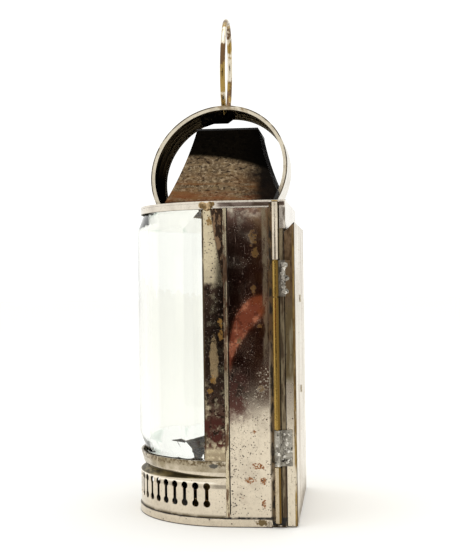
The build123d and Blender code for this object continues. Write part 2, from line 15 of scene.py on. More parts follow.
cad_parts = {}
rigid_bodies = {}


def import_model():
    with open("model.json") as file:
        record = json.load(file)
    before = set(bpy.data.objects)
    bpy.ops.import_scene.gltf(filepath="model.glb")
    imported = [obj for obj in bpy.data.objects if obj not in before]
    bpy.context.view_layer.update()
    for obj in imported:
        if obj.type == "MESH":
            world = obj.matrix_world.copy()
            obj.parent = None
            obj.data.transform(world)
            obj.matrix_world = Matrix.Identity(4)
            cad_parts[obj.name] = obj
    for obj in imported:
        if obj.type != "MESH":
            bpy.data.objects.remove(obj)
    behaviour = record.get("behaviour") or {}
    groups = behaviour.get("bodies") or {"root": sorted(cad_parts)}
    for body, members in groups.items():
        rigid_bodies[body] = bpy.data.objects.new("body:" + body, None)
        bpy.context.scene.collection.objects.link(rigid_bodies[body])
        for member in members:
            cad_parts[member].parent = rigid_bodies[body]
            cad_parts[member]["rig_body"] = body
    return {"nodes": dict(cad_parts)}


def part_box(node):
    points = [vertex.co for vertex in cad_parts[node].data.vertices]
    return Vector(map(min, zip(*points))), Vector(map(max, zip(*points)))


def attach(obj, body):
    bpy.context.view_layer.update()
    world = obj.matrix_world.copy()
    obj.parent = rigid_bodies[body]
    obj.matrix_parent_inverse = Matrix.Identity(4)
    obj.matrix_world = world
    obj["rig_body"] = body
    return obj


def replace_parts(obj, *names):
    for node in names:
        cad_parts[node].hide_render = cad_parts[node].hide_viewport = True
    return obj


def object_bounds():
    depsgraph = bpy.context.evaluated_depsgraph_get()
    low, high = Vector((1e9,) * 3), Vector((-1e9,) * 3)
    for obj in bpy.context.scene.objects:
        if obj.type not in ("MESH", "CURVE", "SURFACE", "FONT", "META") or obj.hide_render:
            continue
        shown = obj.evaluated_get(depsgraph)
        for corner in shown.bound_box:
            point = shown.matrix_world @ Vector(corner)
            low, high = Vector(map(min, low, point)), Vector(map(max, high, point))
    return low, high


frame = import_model()
cad_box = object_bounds()
MM = 0.001
print(len(frame["nodes"]), "solids, box", [tuple(round(v / MM, 1) for v in corner) for corner in cad_box])

# %% [markdown]
# ## The camera
# A long lens keeps the case from bulging. It stands level with the middle of the window and looks
# almost straight at the hinge side, so the flat wall is seen full on and the bowed front in profile.

# %% Camera
sight = Vector((-0.994, -0.108, 0)).normalized()
level = sight.cross(Vector((0, 0, 1)))
tilt = math.radians(0.8)
side = level * math.cos(tilt) - Vector((0, 0, 1)) * math.sin(tilt)
above = Vector((0, 0, 1)) * math.cos(tilt) + level * math.sin(tilt)
stand = Matrix((side, above, -sight)).transposed().to_4x4()
stand.translation = Vector((0.4406, 0.0449, 0.0923))
lens = bpy.data.cameras.new("studio_camera")
lens.lens = 71.74
lens.sensor_width = 36
camera = bpy.data.objects.new("studio_camera", lens)
camera.matrix_world = stand
bpy.context.scene.collection.objects.link(camera)
bpy.context.scene.camera = camera
bpy.context.scene.view_settings.view_transform = "Standard"
print("camera", [round(v, 3) for v in camera.matrix_world.translation])


# %% [markdown]
# ## Nodes without the typing
# Every finish is a tree of nodes. One small function adds a node with its settings and links, and
# another turns a colour given in sRGB hex into the linear numbers that light adds up in.

# %% Helpers for colours and nodes
def linear(code):
    """The linear colour of an sRGB hex code, with full alpha."""
    parts = [int(code[i:i + 2], 16) / 255 for i in (1, 3, 5)]
    return (*[p / 12.92 if p <= 0.04045 else ((p + 0.055) / 1.055) ** 2.4 for p in parts], 1)


def add(tree, kind, values=None, wires=None, **settings):
    """Adds a node, with its settings, its input values and the sockets that feed it."""
    made = tree.nodes.new(kind)
    for name, value in settings.items():
        setattr(made, name, value)
    for name, value in (values or {}).items():
        made.inputs[name].default_value = value
    for name, source in (wires or {}).items():
        tree.links.new(source, made.inputs[name])
    return made


def light_card(name, colour, strength):
    """A surface that only glows, for what stands around the lantern and shows in its plate."""
    material = bpy.data.materials.new(name)
    material.use_nodes = True
    tree = material.node_tree
    tree.nodes.remove(tree.nodes["Principled BSDF"])
    glow = add(tree, "ShaderNodeEmission", {"Color": linear(colour), "Strength": strength})
    tree.links.new(glow.outputs["Emission"], tree.nodes["Material Output"].inputs["Surface"])
    return material


print("sRGB #808080 is", round(linear("#808080")[0], 3), "in linear light")

# %% [markdown]
# ## A white studio with a dark side
# Bare metal shows nothing but its surroundings. The room is white all round and the table is pale,
# and a dark screen stands on the camera's side. The screen is seen only in reflections, so it takes
# no light from the table.

# %% World, floor and lights
room = bpy.data.worlds.new("white_studio")
room.use_nodes = True
room.node_tree.nodes["Background"].inputs["Color"].default_value = linear("#FFFFFD")
room.node_tree.nodes["Background"].inputs["Strength"].default_value = 1.12
bpy.context.scene.world = room

bpy.ops.mesh.primitive_plane_add(size=8, location=(0, 0, cad_box[0].z - 0.05 * MM))
floor = bpy.context.object
floor.name = "studio_floor"
paper = bpy.data.materials.new("matt_white_paper")
paper.use_nodes = True
paper.node_tree.nodes["Principled BSDF"].inputs["Base Color"].default_value = linear("#F8F7F4")
paper.node_tree.nodes["Principled BSDF"].inputs["Roughness"].default_value = 0.9
paper.node_tree.nodes["Principled BSDF"].inputs["Specular IOR Level"].default_value = 0.1
floor.data.materials.append(paper)


def softbox(name, place, size, power):
    """A square soft light that faces the middle of the lantern."""
    data = bpy.data.lights.new(name, "AREA")
    data.size = size
    data.energy = power
    made = bpy.data.objects.new(name, data)
    made.location = place
    made.rotation_euler = (Vector((0, 0, 0.09)) - made.location).to_track_quat("-Z", "Y").to_euler()
    bpy.context.scene.collection.objects.link(made)
    return made


softbox("overhead_softbox", Vector((0.1, -0.05, 0.8)), 0.6, 1.2)


def only_in_reflections(card):
    """Hides a card from everything but glossy rays, and keeps it out of the object."""
    card.visible_camera = False
    card.visible_diffuse = False
    card.visible_shadow = False
    card.visible_transmission = False


# The screen's upper left part is cut away along a slope, so the stile catches white above it.
screen_x = 0.40
screen_corners = ((0.22, -0.002), (0.22, 0.134), (-0.105, 0.134),
                  (-0.135, 0.088), (-0.34, 0.072), (-0.34, -0.002))  # Y and Z, in metres
bpy.ops.mesh.primitive_plane_add(size=1, location=(screen_x, 0, 0))
screen = bpy.context.object
screen.name = "dark_screen"
screen.data.clear_geometry()
screen.data.from_pydata([(0, y, z) for y, z in screen_corners], [], [tuple(range(len(screen_corners)))])
dark_room = light_card("dark_room", "#3A2A27", 1.0)
tree = dark_room.node_tree
on_screen = add(tree, "ShaderNodeTexCoord").outputs["Object"]
across = add(tree, "ShaderNodeSeparateXYZ", wires={"Vector": on_screen})
toward_door = add(tree, "ShaderNodeMapRange", {"From Min": -0.04, "From Max": -0.01},
                  {"Value": across.outputs["Y"]}, interpolation_type="SMOOTHSTEP")
maroon = add(tree, "ShaderNodeMix", {6: linear("#15100F"), 7: linear("#55403A")},
             {0: toward_door.outputs["Result"]}, data_type="RGBA")
tree.links.new(maroon.outputs[2], tree.nodes["Emission"].inputs["Color"])
screen.data.materials.append(dark_room)
only_in_reflections(screen)
print("studio: floor, one softbox, a dark screen of", len(screen_corners), "corners")

# %% [markdown]
# ## The copper-coloured flare
# Something warm beside the lantern shows in its dark wall as a copper-coloured flare. It is a
# reflection, so it is a glowing card and not a stain. The card is drawn as it shows on the wall, in
# millimetres, then carried out a little way along the reflected line of sight. A superellipse gives
# its outer edge, and a power curve its inner one. It hangs close to the wall, because a dull plate
# blurs whatever is far from it.

# %% Flare
wall_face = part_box("side_wall_right")[1].x
eye = camera.matrix_world.translation
flare_x = 0.06  # where the card hangs, in metres from the middle
carry = 1 + (flare_x - wall_face) / (eye.x - wall_face)


def off_the_wall(y, z):
    """The place off the wall that shows in it at y and z, in millimetres."""
    return (flare_x, eye.y + (y * MM - eye.y) * carry, eye.z + (z * MM - eye.z) * carry)


flare_steps = 20
bpy.ops.mesh.primitive_grid_add(x_subdivisions=flare_steps, y_subdivisions=1, size=1)
flare = bpy.context.object
flare.name = "warm_strip"
for vertex in flare.data.vertices:
    y = 0.2 + 13.6 * (vertex.co.x + 0.5) ** 2
    outer = 55 + 30 * (1 - ((14 - y) / 13.8) ** 2.5) ** 0.4
    inner = min(55 + 3 * min(y, 1) + 13 * (max(y - 0.9, 0) / 6) ** 0.6, outer)
    vertex.co = off_the_wall(y, outer if vertex.co.y > 0 else inner)
flare.data.materials.append(light_card("copper_glow", "#FFB094", 0.7))
only_in_reflections(flare)
print("flare of", flare_steps, "steps, carried out", round(carry, 2), "times")


# %% [markdown]
# ## A finish is built up in layers
# A worn plate is a stack: bright nickel, a brown film, dirt in the corners, pits. So a finish
# starts as one plain metal, and `lay` puts another colour and roughness over it wherever a mask
# is 1. Masks are made from the piece's own coordinates, with every size in millimetres.

# %% Helpers for finishes
def new_finish(name, colour, metallic, roughness, **sockets):
    """A material with its plain starting values, and the coordinates that its masks are made from."""
    material = bpy.data.materials.new(name)
    material.use_nodes = True
    tree = material.node_tree
    shader = tree.nodes["Principled BSDF"]
    shader.inputs["Base Color"].default_value = linear(colour)
    shader.inputs["Metallic"].default_value = metallic
    shader.inputs["Roughness"].default_value = roughness
    for socket, value in sockets.items():
        shader.inputs[socket.replace("_", " ")].default_value = value
    place = add(tree, "ShaderNodeTexCoord").outputs["Object"]
    axes = add(tree, "ShaderNodeSeparateXYZ", wires={"Vector": place})
    return SimpleNamespace(material=material, tree=tree, shader=shader, place=place,
                           x=axes.outputs["X"], y=axes.outputs["Y"], z=axes.outputs["Z"])


def lay(finish, mask, colour=None, roughness=None, metallic=None):
    """Lays another colour, roughness or metal over the finish, where the mask is 1."""
    for socket, value in (("Base Color", colour), ("Roughness", roughness), ("Metallic", metallic)):
        if value is None:
            continue
        under = finish.shader.inputs[socket]
        kind, low, high, out = ("RGBA", 6, 7, 2) if socket == "Base Color" else ("FLOAT", 2, 3, 0)
        value = linear(value) if socket == "Base Color" else value
        mix = add(finish.tree, "ShaderNodeMix", {low: under.default_value, high: value}, {0: mask},
                  data_type=kind)
        if under.is_linked:
            finish.tree.links.new(under.links[0].from_socket, mix.inputs[low])
        finish.tree.links.new(mix.outputs[out], under)


def both(finish, first, second):
    """Where both masks are 1. The second may be left out."""
    if second is None:
        return first
    return add(finish.tree, "ShaderNodeMath", wires={0: first, 1: second}, operation="MULTIPLY").outputs[0]


def rise(finish, source, low, high, within=None, top=1.0):
    """A mask that climbs from 0 at low to its top at high, or falls if low is the larger."""
    made = add(finish.tree, "ShaderNodeMapRange", {"From Min": low, "From Max": high, "To Max": top},
               {"Value": source}, interpolation_type="SMOOTHSTEP")
    return both(finish, made.outputs["Result"], within)


def fade(finish, axis, start, end, within=None, top=1.0):
    """A mask along one axis, with both ends in millimetres."""
    return rise(finish, getattr(finish, axis), start * MM, end * MM, within, top)


def mottle(finish, size, low=0.45, high=0.6, within=None, top=1.0, stretch=(1, 1, 1), seed=0.0, detail=4):
    """Cloudy patches about this many millimetres across."""
    spot = add(finish.tree, "ShaderNodeMapping", {"Scale": stretch, "Location": (seed, seed, seed)},
               {"Vector": finish.place})
    cloud = add(finish.tree, "ShaderNodeTexNoise",
                {"Scale": 1 / (size * MM), "Detail": detail, "Roughness": 0.6},
                {"Vector": spot.outputs["Vector"]})
    return rise(finish, cloud.outputs["Fac"], low, high, within, top)


def pits(finish, spacing, share, within=None, top=1.0, seed=0.0):
    """Round specks on an uneven grid of this spacing, each this share of its cell."""
    spot = add(finish.tree, "ShaderNodeMapping", {"Location": (seed, seed, seed)}, {"Vector": finish.place})
    cells = add(finish.tree, "ShaderNodeTexVoronoi", {"Scale": 1 / (spacing * MM)},
                {"Vector": spot.outputs["Vector"]})
    return rise(finish, cells.outputs["Distance"], share, share * 0.55, within, top)


def patch(finish, centre, radii, ragged=0.5, within=None, top=1.0):
    """One ragged stain. Centre and radii are in millimetres along X, Y and Z."""
    near = add(finish.tree, "ShaderNodeMapping",
               {"Location": [c * MM for c in centre], "Scale": [r * MM for r in radii]},
               {"Vector": finish.place}, vector_type="TEXTURE")
    reach = add(finish.tree, "ShaderNodeVectorMath", wires={0: near.outputs["Vector"]}, operation="LENGTH")
    cloud = add(finish.tree, "ShaderNodeTexNoise", {"Scale": 1.1 / (min(radii) * MM), "Detail": 3},
                {"Vector": finish.place})
    shift = add(finish.tree, "ShaderNodeMath", {1: 2 * ragged, 2: -ragged}, {0: cloud.outputs["Fac"]},
                operation="MULTIPLY_ADD")
    edge = add(finish.tree, "ShaderNodeMath", wires={0: reach.outputs["Value"], 1: shift.outputs[0]})
    return rise(finish, edge.outputs[0], 1.05, 0.7, within, top)


def press(finish, mask, depth):
    """Raises the surface by this many millimetres where the mask is 1, or sinks it if negative."""
    bump = add(finish.tree, "ShaderNodeBump", {"Distance": abs(depth) * MM, "Strength": 1.0},
               {"Height": mask}, invert=depth < 0)
    under = finish.shader.inputs["Normal"]
    if under.is_linked:
        finish.tree.links.new(under.links[0].from_socket, bump.inputs["Normal"])
    finish.tree.links.new(bump.outputs["Normal"], under)


def from_axis(finish, centre_y):
    """The distance from an upright axis at this Y, which tells the outside of a bow from its inside."""
    flat = add(finish.tree, "ShaderNodeCombineXYZ", wires={"X": finish.x, "Y": finish.y})
    away = add(finish.tree, "ShaderNodeVectorMath", {1: (0, centre_y * MM, 0)}, {0: flat.outputs["Vector"]},
               operation="DISTANCE")
    return away.outputs["Value"]


def from_middle(finish):
    """The distance from the upright plane through the middle of the case."""
    return add(finish.tree, "ShaderNodeMath", wires={0: finish.x}, operation="ABSOLUTE").outputs[0]


def slant(finish, main, other, share):
    """One measure plus a share of another, for a mask whose edge runs at a slant."""
    sloped = add(finish.tree, "ShaderNodeMath", {1: share}, {0: other, 2: main}, operation="MULTIPLY_ADD")
    return sloped.outputs[0]


print("masks: rise, fade, mottle, pits, patch")

# %% [markdown]
# ## Worn nickel plate
# The case is sheet brass with a thin plate of nickel. New nickel is a warm white mirror. A century
# of smoke and damp leaves a brown film, black pinholes where the brass has bled through, and ochre
# stains. All the case's pieces share this recipe, and each adds its own dirt.

# %% Nickel plate
NICKEL = "#D3C7B3"
FILM = "#5B4A42"
GRIME = "#1B1713"
THROUGH = 900  # a stain this long, in millimetres, goes through the sheet and shows on both faces


def nickel(name, colour=NICKEL, roughness=0.14, film=0.35, waves=0.02, specks=0.5):
    """Bright plate, faintly uneven, with a patchy brown film and pinholes."""
    made = new_finish(name, colour, 1.0, roughness)
    lay(made, mottle(made, 9, 0.42, 0.72, top=film), FILM, roughness + 0.16)
    lay(made, mottle(made, 1.1, 0.5, 0.75, top=0.45, seed=3.0), "#A89A86", roughness + 0.12)
    scratches = mottle(made, 0.9, 0.62, 0.7, stretch=(1, 1, 0.06), seed=5.0)
    lay(made, both(made, scratches, mottle(made, 6, 0.5, 0.6, seed=9.0)), roughness=roughness + 0.2)
    holes = pits(made, 1.5, 0.2, mottle(made, 7, 0.5, 0.62, seed=7.0, top=specks))
    lay(made, holes, "#2A211B", 0.6, 0.4)
    press(made, mottle(made, 13, 0.3, 0.7, seed=1.0, detail=1), waves)
    press(made, holes, -0.05)
    return made


CASE_HALF = 38.5  # half the width of the case, and the radius of its bow, in millimetres


def back_of_bow(finish, centre_y=0.0):
    """The back of a bowed sheet of the case, told by its distance from the axis of the bow."""
    return rise(finish, from_axis(finish, centre_y), (CASE_HALF - 0.35) * MM, (CASE_HALF - 0.5) * MM)


print("nickel plate starts from", NICKEL)

# %% [markdown]
# ## The flat side walls
# The upper part of each wall is dark, partly a brown film of smoke and partly a painted reflection of
# the dark room, and the lower part is bare and pitted, and the two meet along a slope. One mask with a
# slanting edge splits the wall, and dust, hairlines, stains and pinholes are laid inside it or outside
# it. A lighter band near the hinge is a painted sheen, the strip behind the hinge tube is a painted
# shadow, and the inside is painted dark as shade. Stains that are large enough to know are placed one
# by one, and the small ones are left to chance.


# %% The flat side walls
def side_plate(name, sign):
    """Dark film above, partly a painted reflection, bare pale plate below, ochre stains, grime beside the
    hinge with a painted sheen, a painted shadow of the tube, and painted shade inside.
    """
    made = nickel(name, roughness=0.09, film=0.25, waves=0.015, specks=0.25)
    slope = slant(made, made.z, made.y, -1.7)
    upper = rise(made, slope, 0.032, 0.046)
    # Partly smoke film and partly painted reflection: the upper part is painted dark brown, which also
    # stands for the dark room that shows in the plate.
    lay(made, both(made, mottle(made, 6, 0.3, 0.55, seed=2.0), upper), "#7E6356", 0.1)
    lay(made, mottle(made, 2.2, 0.5, 0.62, upper, 0.55, seed=12.0), "#47352D", 0.13)
    dust = pits(made, 0.75, 0.2, both(made, mottle(made, 5, 0.46, 0.56, seed=4.0), upper), 0.9)
    lay(made, dust, "#A39A92", 0.5)
    hairs = mottle(made, 0.5, 0.62, 0.68, upper, 0.6, stretch=(1, 1, 0.05), seed=15.0)
    lay(made, hairs, "#8C8178", 0.4)
    browned = both(made, fade(made, "y", 6, 13), mottle(made, 4, 0.35, 0.6, upper, seed=21.0))
    lay(made, browned, "#7F6144", 0.12)
    # Partly stain and partly painted reflection: a maroon patch that also stands for the dark room's
    # reflection, with pale pits in it.
    maroon = both(made, fade(made, "z", 36, 44), both(made, fade(made, "z", 62, 54), fade(made, "y", 11, 4)))
    lay(made, both(made, maroon, mottle(made, 2.5, 0.38, 0.55, seed=24.0, detail=8)), "#6B4A42", 0.2)
    lay(made, both(made, maroon, pits(made, 0.8, 0.22, seed=25.0)), "#A99C90", 0.45)
    stains = ((9.6, 106, 1.5, 3.0), (10.4, 101, 1.6, 1.8), (9.8, 87.4, 1.1, 1.8), (11.9, 73.8, 0.9, 1.1),
              (4.4, 68.3, 1.0, 1.3), (12.1, 50.6, 1.3, 1.4), (-0.2, 66.5, 0.8, 1.6))
    for y, z, half_y, half_z in stains:
        stain = patch(made, (0, y, z), (THROUGH, half_y, half_z), 1.1, top=0.85)
        lay(made, mottle(made, 0.9, 0.35, 0.5, stain), "#65491C", 0.4, 0.7)
    rust = ((10.7, 22.2, 2.6, 1.2), (7.6, 17.2, 2.0, 1.0), (12.7, 17.0, 1.5, 1.3), (9.3, 35.0, 0.8, 0.6),
            (12.6, 8.4, 1.1, 1.5), (4.6, 10.6, 0.5, 0.4))
    for y, z, half_y, half_z in rust:
        spot = patch(made, (0, y, z), (THROUGH, half_y, half_z), 1.2)
        lay(made, mottle(made, 0.7, 0.42, 0.5, spot), "#8A5526", 0.5, 0.4)
    lower = rise(made, slope, 0.042, 0.030)
    black = pits(made, 1.0, 0.3, both(made, mottle(made, 5, 0.46, 0.58, seed=6.0), lower))
    lay(made, black, "#221A15", 0.6, 0.2)
    press(made, black, -0.08)
    fine = pits(made, 0.6, 0.22, both(made, mottle(made, 4, 0.5, 0.6, seed=31.0), lower), 0.8)
    lay(made, fine, "#4A382A", 0.5, 0.4)
    seam_spots = both(made, fade(made, "y", 4.5, 1.0), mottle(made, 2.5, 0.4, 0.55, seed=32.0))
    lay(made, pits(made, 0.9, 0.32, both(made, seam_spots, fade(made, "z", 40, 30))), "#2B2119", 0.6, 0.2)
    # Painted sheen: a lighter grey band near the hinge, where the slight curve of the wall shows a brighter
    # reflection.
    painted_sheen_strip = both(made, both(made, fade(made, "y", 12.6, 13.6), fade(made, "y", 15.4, 14.6)), upper)
    lay(made, mottle(made, 2, 0.3, 0.55, painted_sheen_strip, stretch=(1, 1, 0.3), seed=33.0), "#8E8069", 0.3)
    corner = fade(made, "y", 14.9, 15.9, mottle(made, 2.2, 0.2, 0.5, stretch=(1, 1, 0.3)), 0.95)
    lay(made, corner, "#5A4629", 0.45, 0.6)
    black_dirt = mottle(made, 1.2, 0.45, 0.55, corner, stretch=(1, 1, 0.3), seed=35.0)
    lay(made, black_dirt, "#1E170F", 0.6, 0.6)
    # Painted shadow: the strip of wall behind the hinge tube is painted near black, as the tube's shadow.
    lay(made, both(made, fade(made, "y", 17.9, 18.4), fade(made, "y", 19.6, 19.3)), "#0E0B09", 0.8, 1.0)
    behind = fade(made, "y", 19.3, 19.7)
    lay(made, behind, "#8E8065", 0.34)
    lay(made, both(made, behind, mottle(made, 2, 0.4, 0.55, stretch=(1, 1, 0.2), seed=37.0)), "#4E3F2C", 0.4)
    bead = rise(made, from_middle(made), 38.56 * MM, 38.62 * MM)
    lay(made, bead, "#C9BC9F", 0.22)
    lay(made, both(made, bead, mottle(made, 3, 0.48, 0.56, stretch=(1, 1, 0.3), seed=39.0)), "#6F5643", 0.3)
    beside = both(made, fade(made, "y", 0.5, 0.25), rise(made, made.z, 0.004, 0.005))
    lay(made, both(made, beside, rise(made, bead, 0.5, 0.2)), "#1B1511", 0.5)
    lay(made, fade(made, "z", 3.9, 3.3, mottle(made, 3, 0.3, 0.5)), GRIME, 0.6, 0.2)
    # Painted shade: the inside of the wall is painted dark near the bottom and grey above.
    inner = rise(made, made.x, sign * 38.15 * MM, sign * 38.0 * MM)
    lay(made, inner, "#2C2620", 0.5)
    lay(made, both(made, inner, fade(made, "z", 19, 22)), "#8A8173", 0.4)
    return made.material


FINISH = {"side_wall_right": side_plate("film_and_painted_reflection_nickel_right", 1),
          "side_wall_left": side_plate("film_and_painted_reflection_nickel_left", -1)}
print("side walls:", len(FINISH), "finishes")


# %% [markdown]
# ## The stiles beside the glass
# A stile is the narrow bent strip that frames the pane. Its top has stayed cream, its middle is
# brown and speckled, and its foot is clean. Three masks by height split it, and a slanting edge
# keeps the cream to the side nearest the pane.


# %% The stiles beside the glass
def stile_plate():
    """Cream and pitted at the top, brown and speckled below, with a clean border at the foot."""
    made = nickel("pitted_stile_nickel", "#C9BB9C", film=0.2, waves=0.03, specks=0.9)
    middle = both(made, rise(made, made.z, 0.028, 0.033), rise(made, made.z, 0.0905, 0.0885))
    lay(made, both(made, middle, mottle(made, 3.5, 0.28, 0.5)), "#5A463B", 0.16)
    lay(made, both(made, middle, mottle(made, 1.6, 0.5, 0.6, seed=11.0)), "#2E241D", 0.3)
    dust = pits(made, 0.75, 0.2, mottle(made, 5, 0.42, 0.52, middle, seed=8.0), 0.9)
    lay(made, dust, "#A39A92", 0.5)
    # Painted highlight: a soft cream oblong down the middle of the stile.
    pale = patch(made, (0, -5.2, 61.5), (THROUGH, 1.8, 9.5), 0.35, rise(made, made.z, 0.03, 0.04))
    lay(made, both(made, pale, mottle(made, 1.6, 0.2, 0.5, seed=14.0)), "#C2A880", 0.25)
    across = slant(made, made.y, made.z, 0.16)
    edge = both(made, rise(made, across, 0.0123, 0.0131), rise(made, made.z, 0.0885, 0.0905))
    lay(made, edge, "#3D2F25", 0.25)
    lay(made, mottle(made, 1.5, 0.48, 0.58, edge, stretch=(1, 1, 0.4), seed=17.0), "#8F7358", 0.3)
    cream = fade(made, "z", 88.5, 90.5)
    lay(made, pits(made, 1.1, 0.3, mottle(made, 3, 0.35, 0.5, cream), 0.95, 2.0), "#33271B", 0.6, 0.3)
    by_the_pane = fade(made, "y", -8.4, -8.9)
    lay(made, mottle(made, 2.2, 0.32, 0.5, by_the_pane, stretch=(1, 1, 0.3)), "#4A3E2E", 0.4)
    low_band = both(made, fade(made, "z", 27, 30), fade(made, "z", 44, 38))
    lay(made, mottle(made, 2.4, 0.44, 0.56, low_band, seed=4.0), "#4C2C26", 0.2)
    lay(made, mottle(made, 2, 0.35, 0.5, fade(made, "z", 29, 26), seed=19.0), "#A8977C", 0.35)
    stains = ((-6.4, 112.6, 1.8), (-2.8, 75, 1.9), (-2.6, 70.5, 2.2), (-5.6, 54, 1.8), (-6.8, 50, 1.0))
    for y, z, half_z in stains:
        stain = patch(made, (0, y, z), (THROUGH, 1.1, half_z), 1.0, top=0.9)
        lay(made, mottle(made, 0.9, 0.35, 0.5, stain), "#86632A", 0.4, 0.6)
    lay(made, back_of_bow(made), "#9A9183", 0.5)
    return made.material


FINISH["stile_right"] = FINISH["stile_left"] = stile_plate()
print("stile finish has", len(FINISH["stile_right"].node_tree.nodes), "nodes")

# %% [markdown]
# ## The vent skirt and the base
# The skirt lets air in under the pane. A crescent is pressed into it, and its hollow is painted brown
# as shade, with a painted highlight on the rolled edge under it and painted shade below that, while
# the band of slots below it stays bright and the inside is painted dark as shade. The crescent narrows
# toward the seam, so its mask is a slanting one. The base is a folded rim, with dirt where it meets its
# neighbours, a painted contact shadow along its foot and painted shade on its inside.


# %% The vent skirt and the base
def skirt_plate():
    """Bright below, with smoke above the pressed crescent, painted shade in its hollow, a painted highlight
    on the roll under it with painted shade below, dirt along the rim and painted shade inside.
    """
    made = nickel("smoked_skirt_nickel", "#D8CCB8", 0.17, film=0.18, waves=0.02, specks=0.3)
    crease_z = 18.1
    over_crease = add(made.tree, "ShaderNodeMath", {1: -crease_z * MM}, {0: made.z})
    off_crease = add(made.tree, "ShaderNodeMath", wires={0: over_crease.outputs[0]}, operation="ABSOLUTE")
    narrowing = slant(made, off_crease.outputs[0], made.y, 0.045)
    # Painted shade: the hollow of the pressed crescent is painted brown-olive, with darker mottling.
    crescent = rise(made, narrowing, 0.3 * MM, -0.05 * MM)
    lay(made, crescent, "#85764F", 0.4, 0.9)
    lay(made, mottle(made, 2.2, 0.35, 0.55, crescent, stretch=(0.3, 0.3, 1.6)), "#41371E", 0.5, 0.8)
    smoky = both(made, fade(made, "z", 19.6, 20.2), mottle(made, 9, 0.25, 0.7, seed=23.0, detail=8))
    lay(made, smoky, "#8A7D62", 0.3)
    lay(made, mottle(made, 1.2, 0.4, 0.6, fade(made, "z", 21.8, 22.4), seed=29.0), "#6A5B43", 0.35)
    # Painted highlight: a bright line along the rolled edge under the crescent, toward the front.
    painted_roll_highlight = both(made, fade(made, "z", 15.5, 15.8), fade(made, "z", 16.4, 16.1))
    painted_roll_highlight = both(made, painted_roll_highlight, fade(made, "y", -4, -7))
    lay(made, painted_roll_highlight, "#F1E9DA", 0.2)
    # Painted shade: a darker mottled band under the rolled edge.
    painted_lip_shade = both(made, fade(made, "z", 13.6, 14.2), fade(made, "z", 15.5, 15.2))
    lay(made, both(made, painted_lip_shade, mottle(made, 8, 0.4, 0.7, seed=27.0, detail=8)), "#9A9080", 0.28)
    seam = both(made, fade(made, "y", -6.5, -2), mottle(made, 2.5, 0.4, 0.6))
    lay(made, pits(made, 1.0, 0.26, seam), "#2A211A", 0.6, 0.2)
    lay(made, patch(made, (36, -6.0, 22.2), (THROUGH, 2.0, 0.9), 0.9), "#5B564E", 0.5, 0.6)
    lay(made, fade(made, "z", 4.6, 3.3, mottle(made, 4, 0.2, 0.55)), "#57492C", 0.5, 0.5)
    lay(made, fade(made, "z", 3.5, 3.1), "#16120C", 0.7, 0.1)
    # Painted shade: the inside of the skirt below the crescent, seen through the slots, is painted near
    # black.
    lay(made, both(made, back_of_bow(made, -1.1), fade(made, "z", 15.4, 15.0)), "#1E1813", 0.5)
    return made.material


def base_plate():
    """The folded rim, clean on its face, with a dark joint at the top, a painted contact shadow along the
    bottom edge and painted shade inside.
    """
    made = nickel("folded_base_nickel", "#D6CAB6", 0.2, film=0.15, waves=0.01, specks=0.35)
    # Painted shadow: the bottom edge of the rim is painted dark, as the contact shadow where it stands.
    lay(made, fade(made, "z", 0.5, 0.1), "#2C241B", 0.6, 0.3)
    lay(made, pits(made, 2.6, 0.16, top=0.8), "#4B3B28", 0.6, 0.2)
    lay(made, patch(made, (39, 12, 1.8), (THROUGH, 2.6, 1.2), 0.8), "#7A684A", 0.45)
    lay(made, fade(made, "y", 13, 16, mottle(made, 2, 0.35, 0.52, seed=3.0)), "#3B2E20", 0.5)
    lay(made, fade(made, "z", 2.85, 3.0, mottle(made, 5, 0.4, 0.55, seed=6.0)), "#4A3E2E", 0.4)
    # Painted shade: the inside of the rim is painted dark.
    inner = rise(made, from_axis(made, -0.7), 38.3 * MM, 38.0 * MM)
    lay(made, both(made, inner, fade(made, "z", 0.5, 0.7)), "#2A231C", 0.6)
    return made.material


FINISH["vent_skirt"] = skirt_plate()
FINISH["base_pan"] = base_plate()
print("skirt finish has", len(FINISH["vent_skirt"].node_tree.nodes), "nodes")

# %% [markdown]
# ## The crown
# The crown is a flat lid with its edges turned down. Along each side two folded edges stand out
# bright, with a brown groove between them. The cornice over the pane is the same metal without the
# groove, so one function makes both.


# %% The crown
def crown_metal(name, band):
    """Pale plate. On the side rims a brown groove runs between two bright folded edges."""
    made = nickel(name, "#DDD4C6", 0.16, film=0.2, waves=0.02, specks=0.5)
    if band:
        groove = both(made, fade(made, "z", 117.7, 118.0), fade(made, "z", 119.4, 119.2))
        groove = both(made, groove, rise(made, from_middle(made), 39.0 * MM, 39.2 * MM))
        lay(made, groove, "#83736A", 0.25)
        lay(made, mottle(made, 3, 0.42, 0.6, groove, stretch=(1, 0.4, 1)), "#54453A", 0.3)
    # Painted shade: the lower edge of the rim is painted as the shadow line under it, near black on the
    # crown and grey on the cornice.
    below = both(made, fade(made, "z", 117.25, 117.0), fade(made, "y", 19.9, 19.6))
    lay(made, both(made, below, mottle(made, 3, 0.2, 0.4)), "#17120D" if band else "#5F5649", 0.6, 0.2)
    return_face = both(made, fade(made, "y", 19.9, 20.4), fade(made, "y", 21.9, 21.6))
    apron = both(made, return_face, fade(made, "z", 117.5, 117.0))
    lay(made, both(made, apron, mottle(made, 2.2, 0.4, 0.6, stretch=(1, 1, 0.25))), "#4A3B2D", 0.35)
    # Painted shade: the inside of the crown is painted dark.
    under = both(made, fade(made, "z", 119.3, 119.15), fade(made, "y", 21.0, 20.8))
    lay(made, rise(made, from_axis(made, 1.0), 37.9 * MM, 37.5 * MM, under), "#241D17", 0.6)
    return made.material


FINISH["crown_plate"] = crown_metal("grooved_crown_nickel", True)
FINISH["front_cornice"] = crown_metal("pale_cornice_nickel", False)
FINISH["door_frame"] = nickel("dull_frame_nickel", "#A3988A", 0.35, 0.5).material
print(len(FINISH), "pieces have a plate finish")
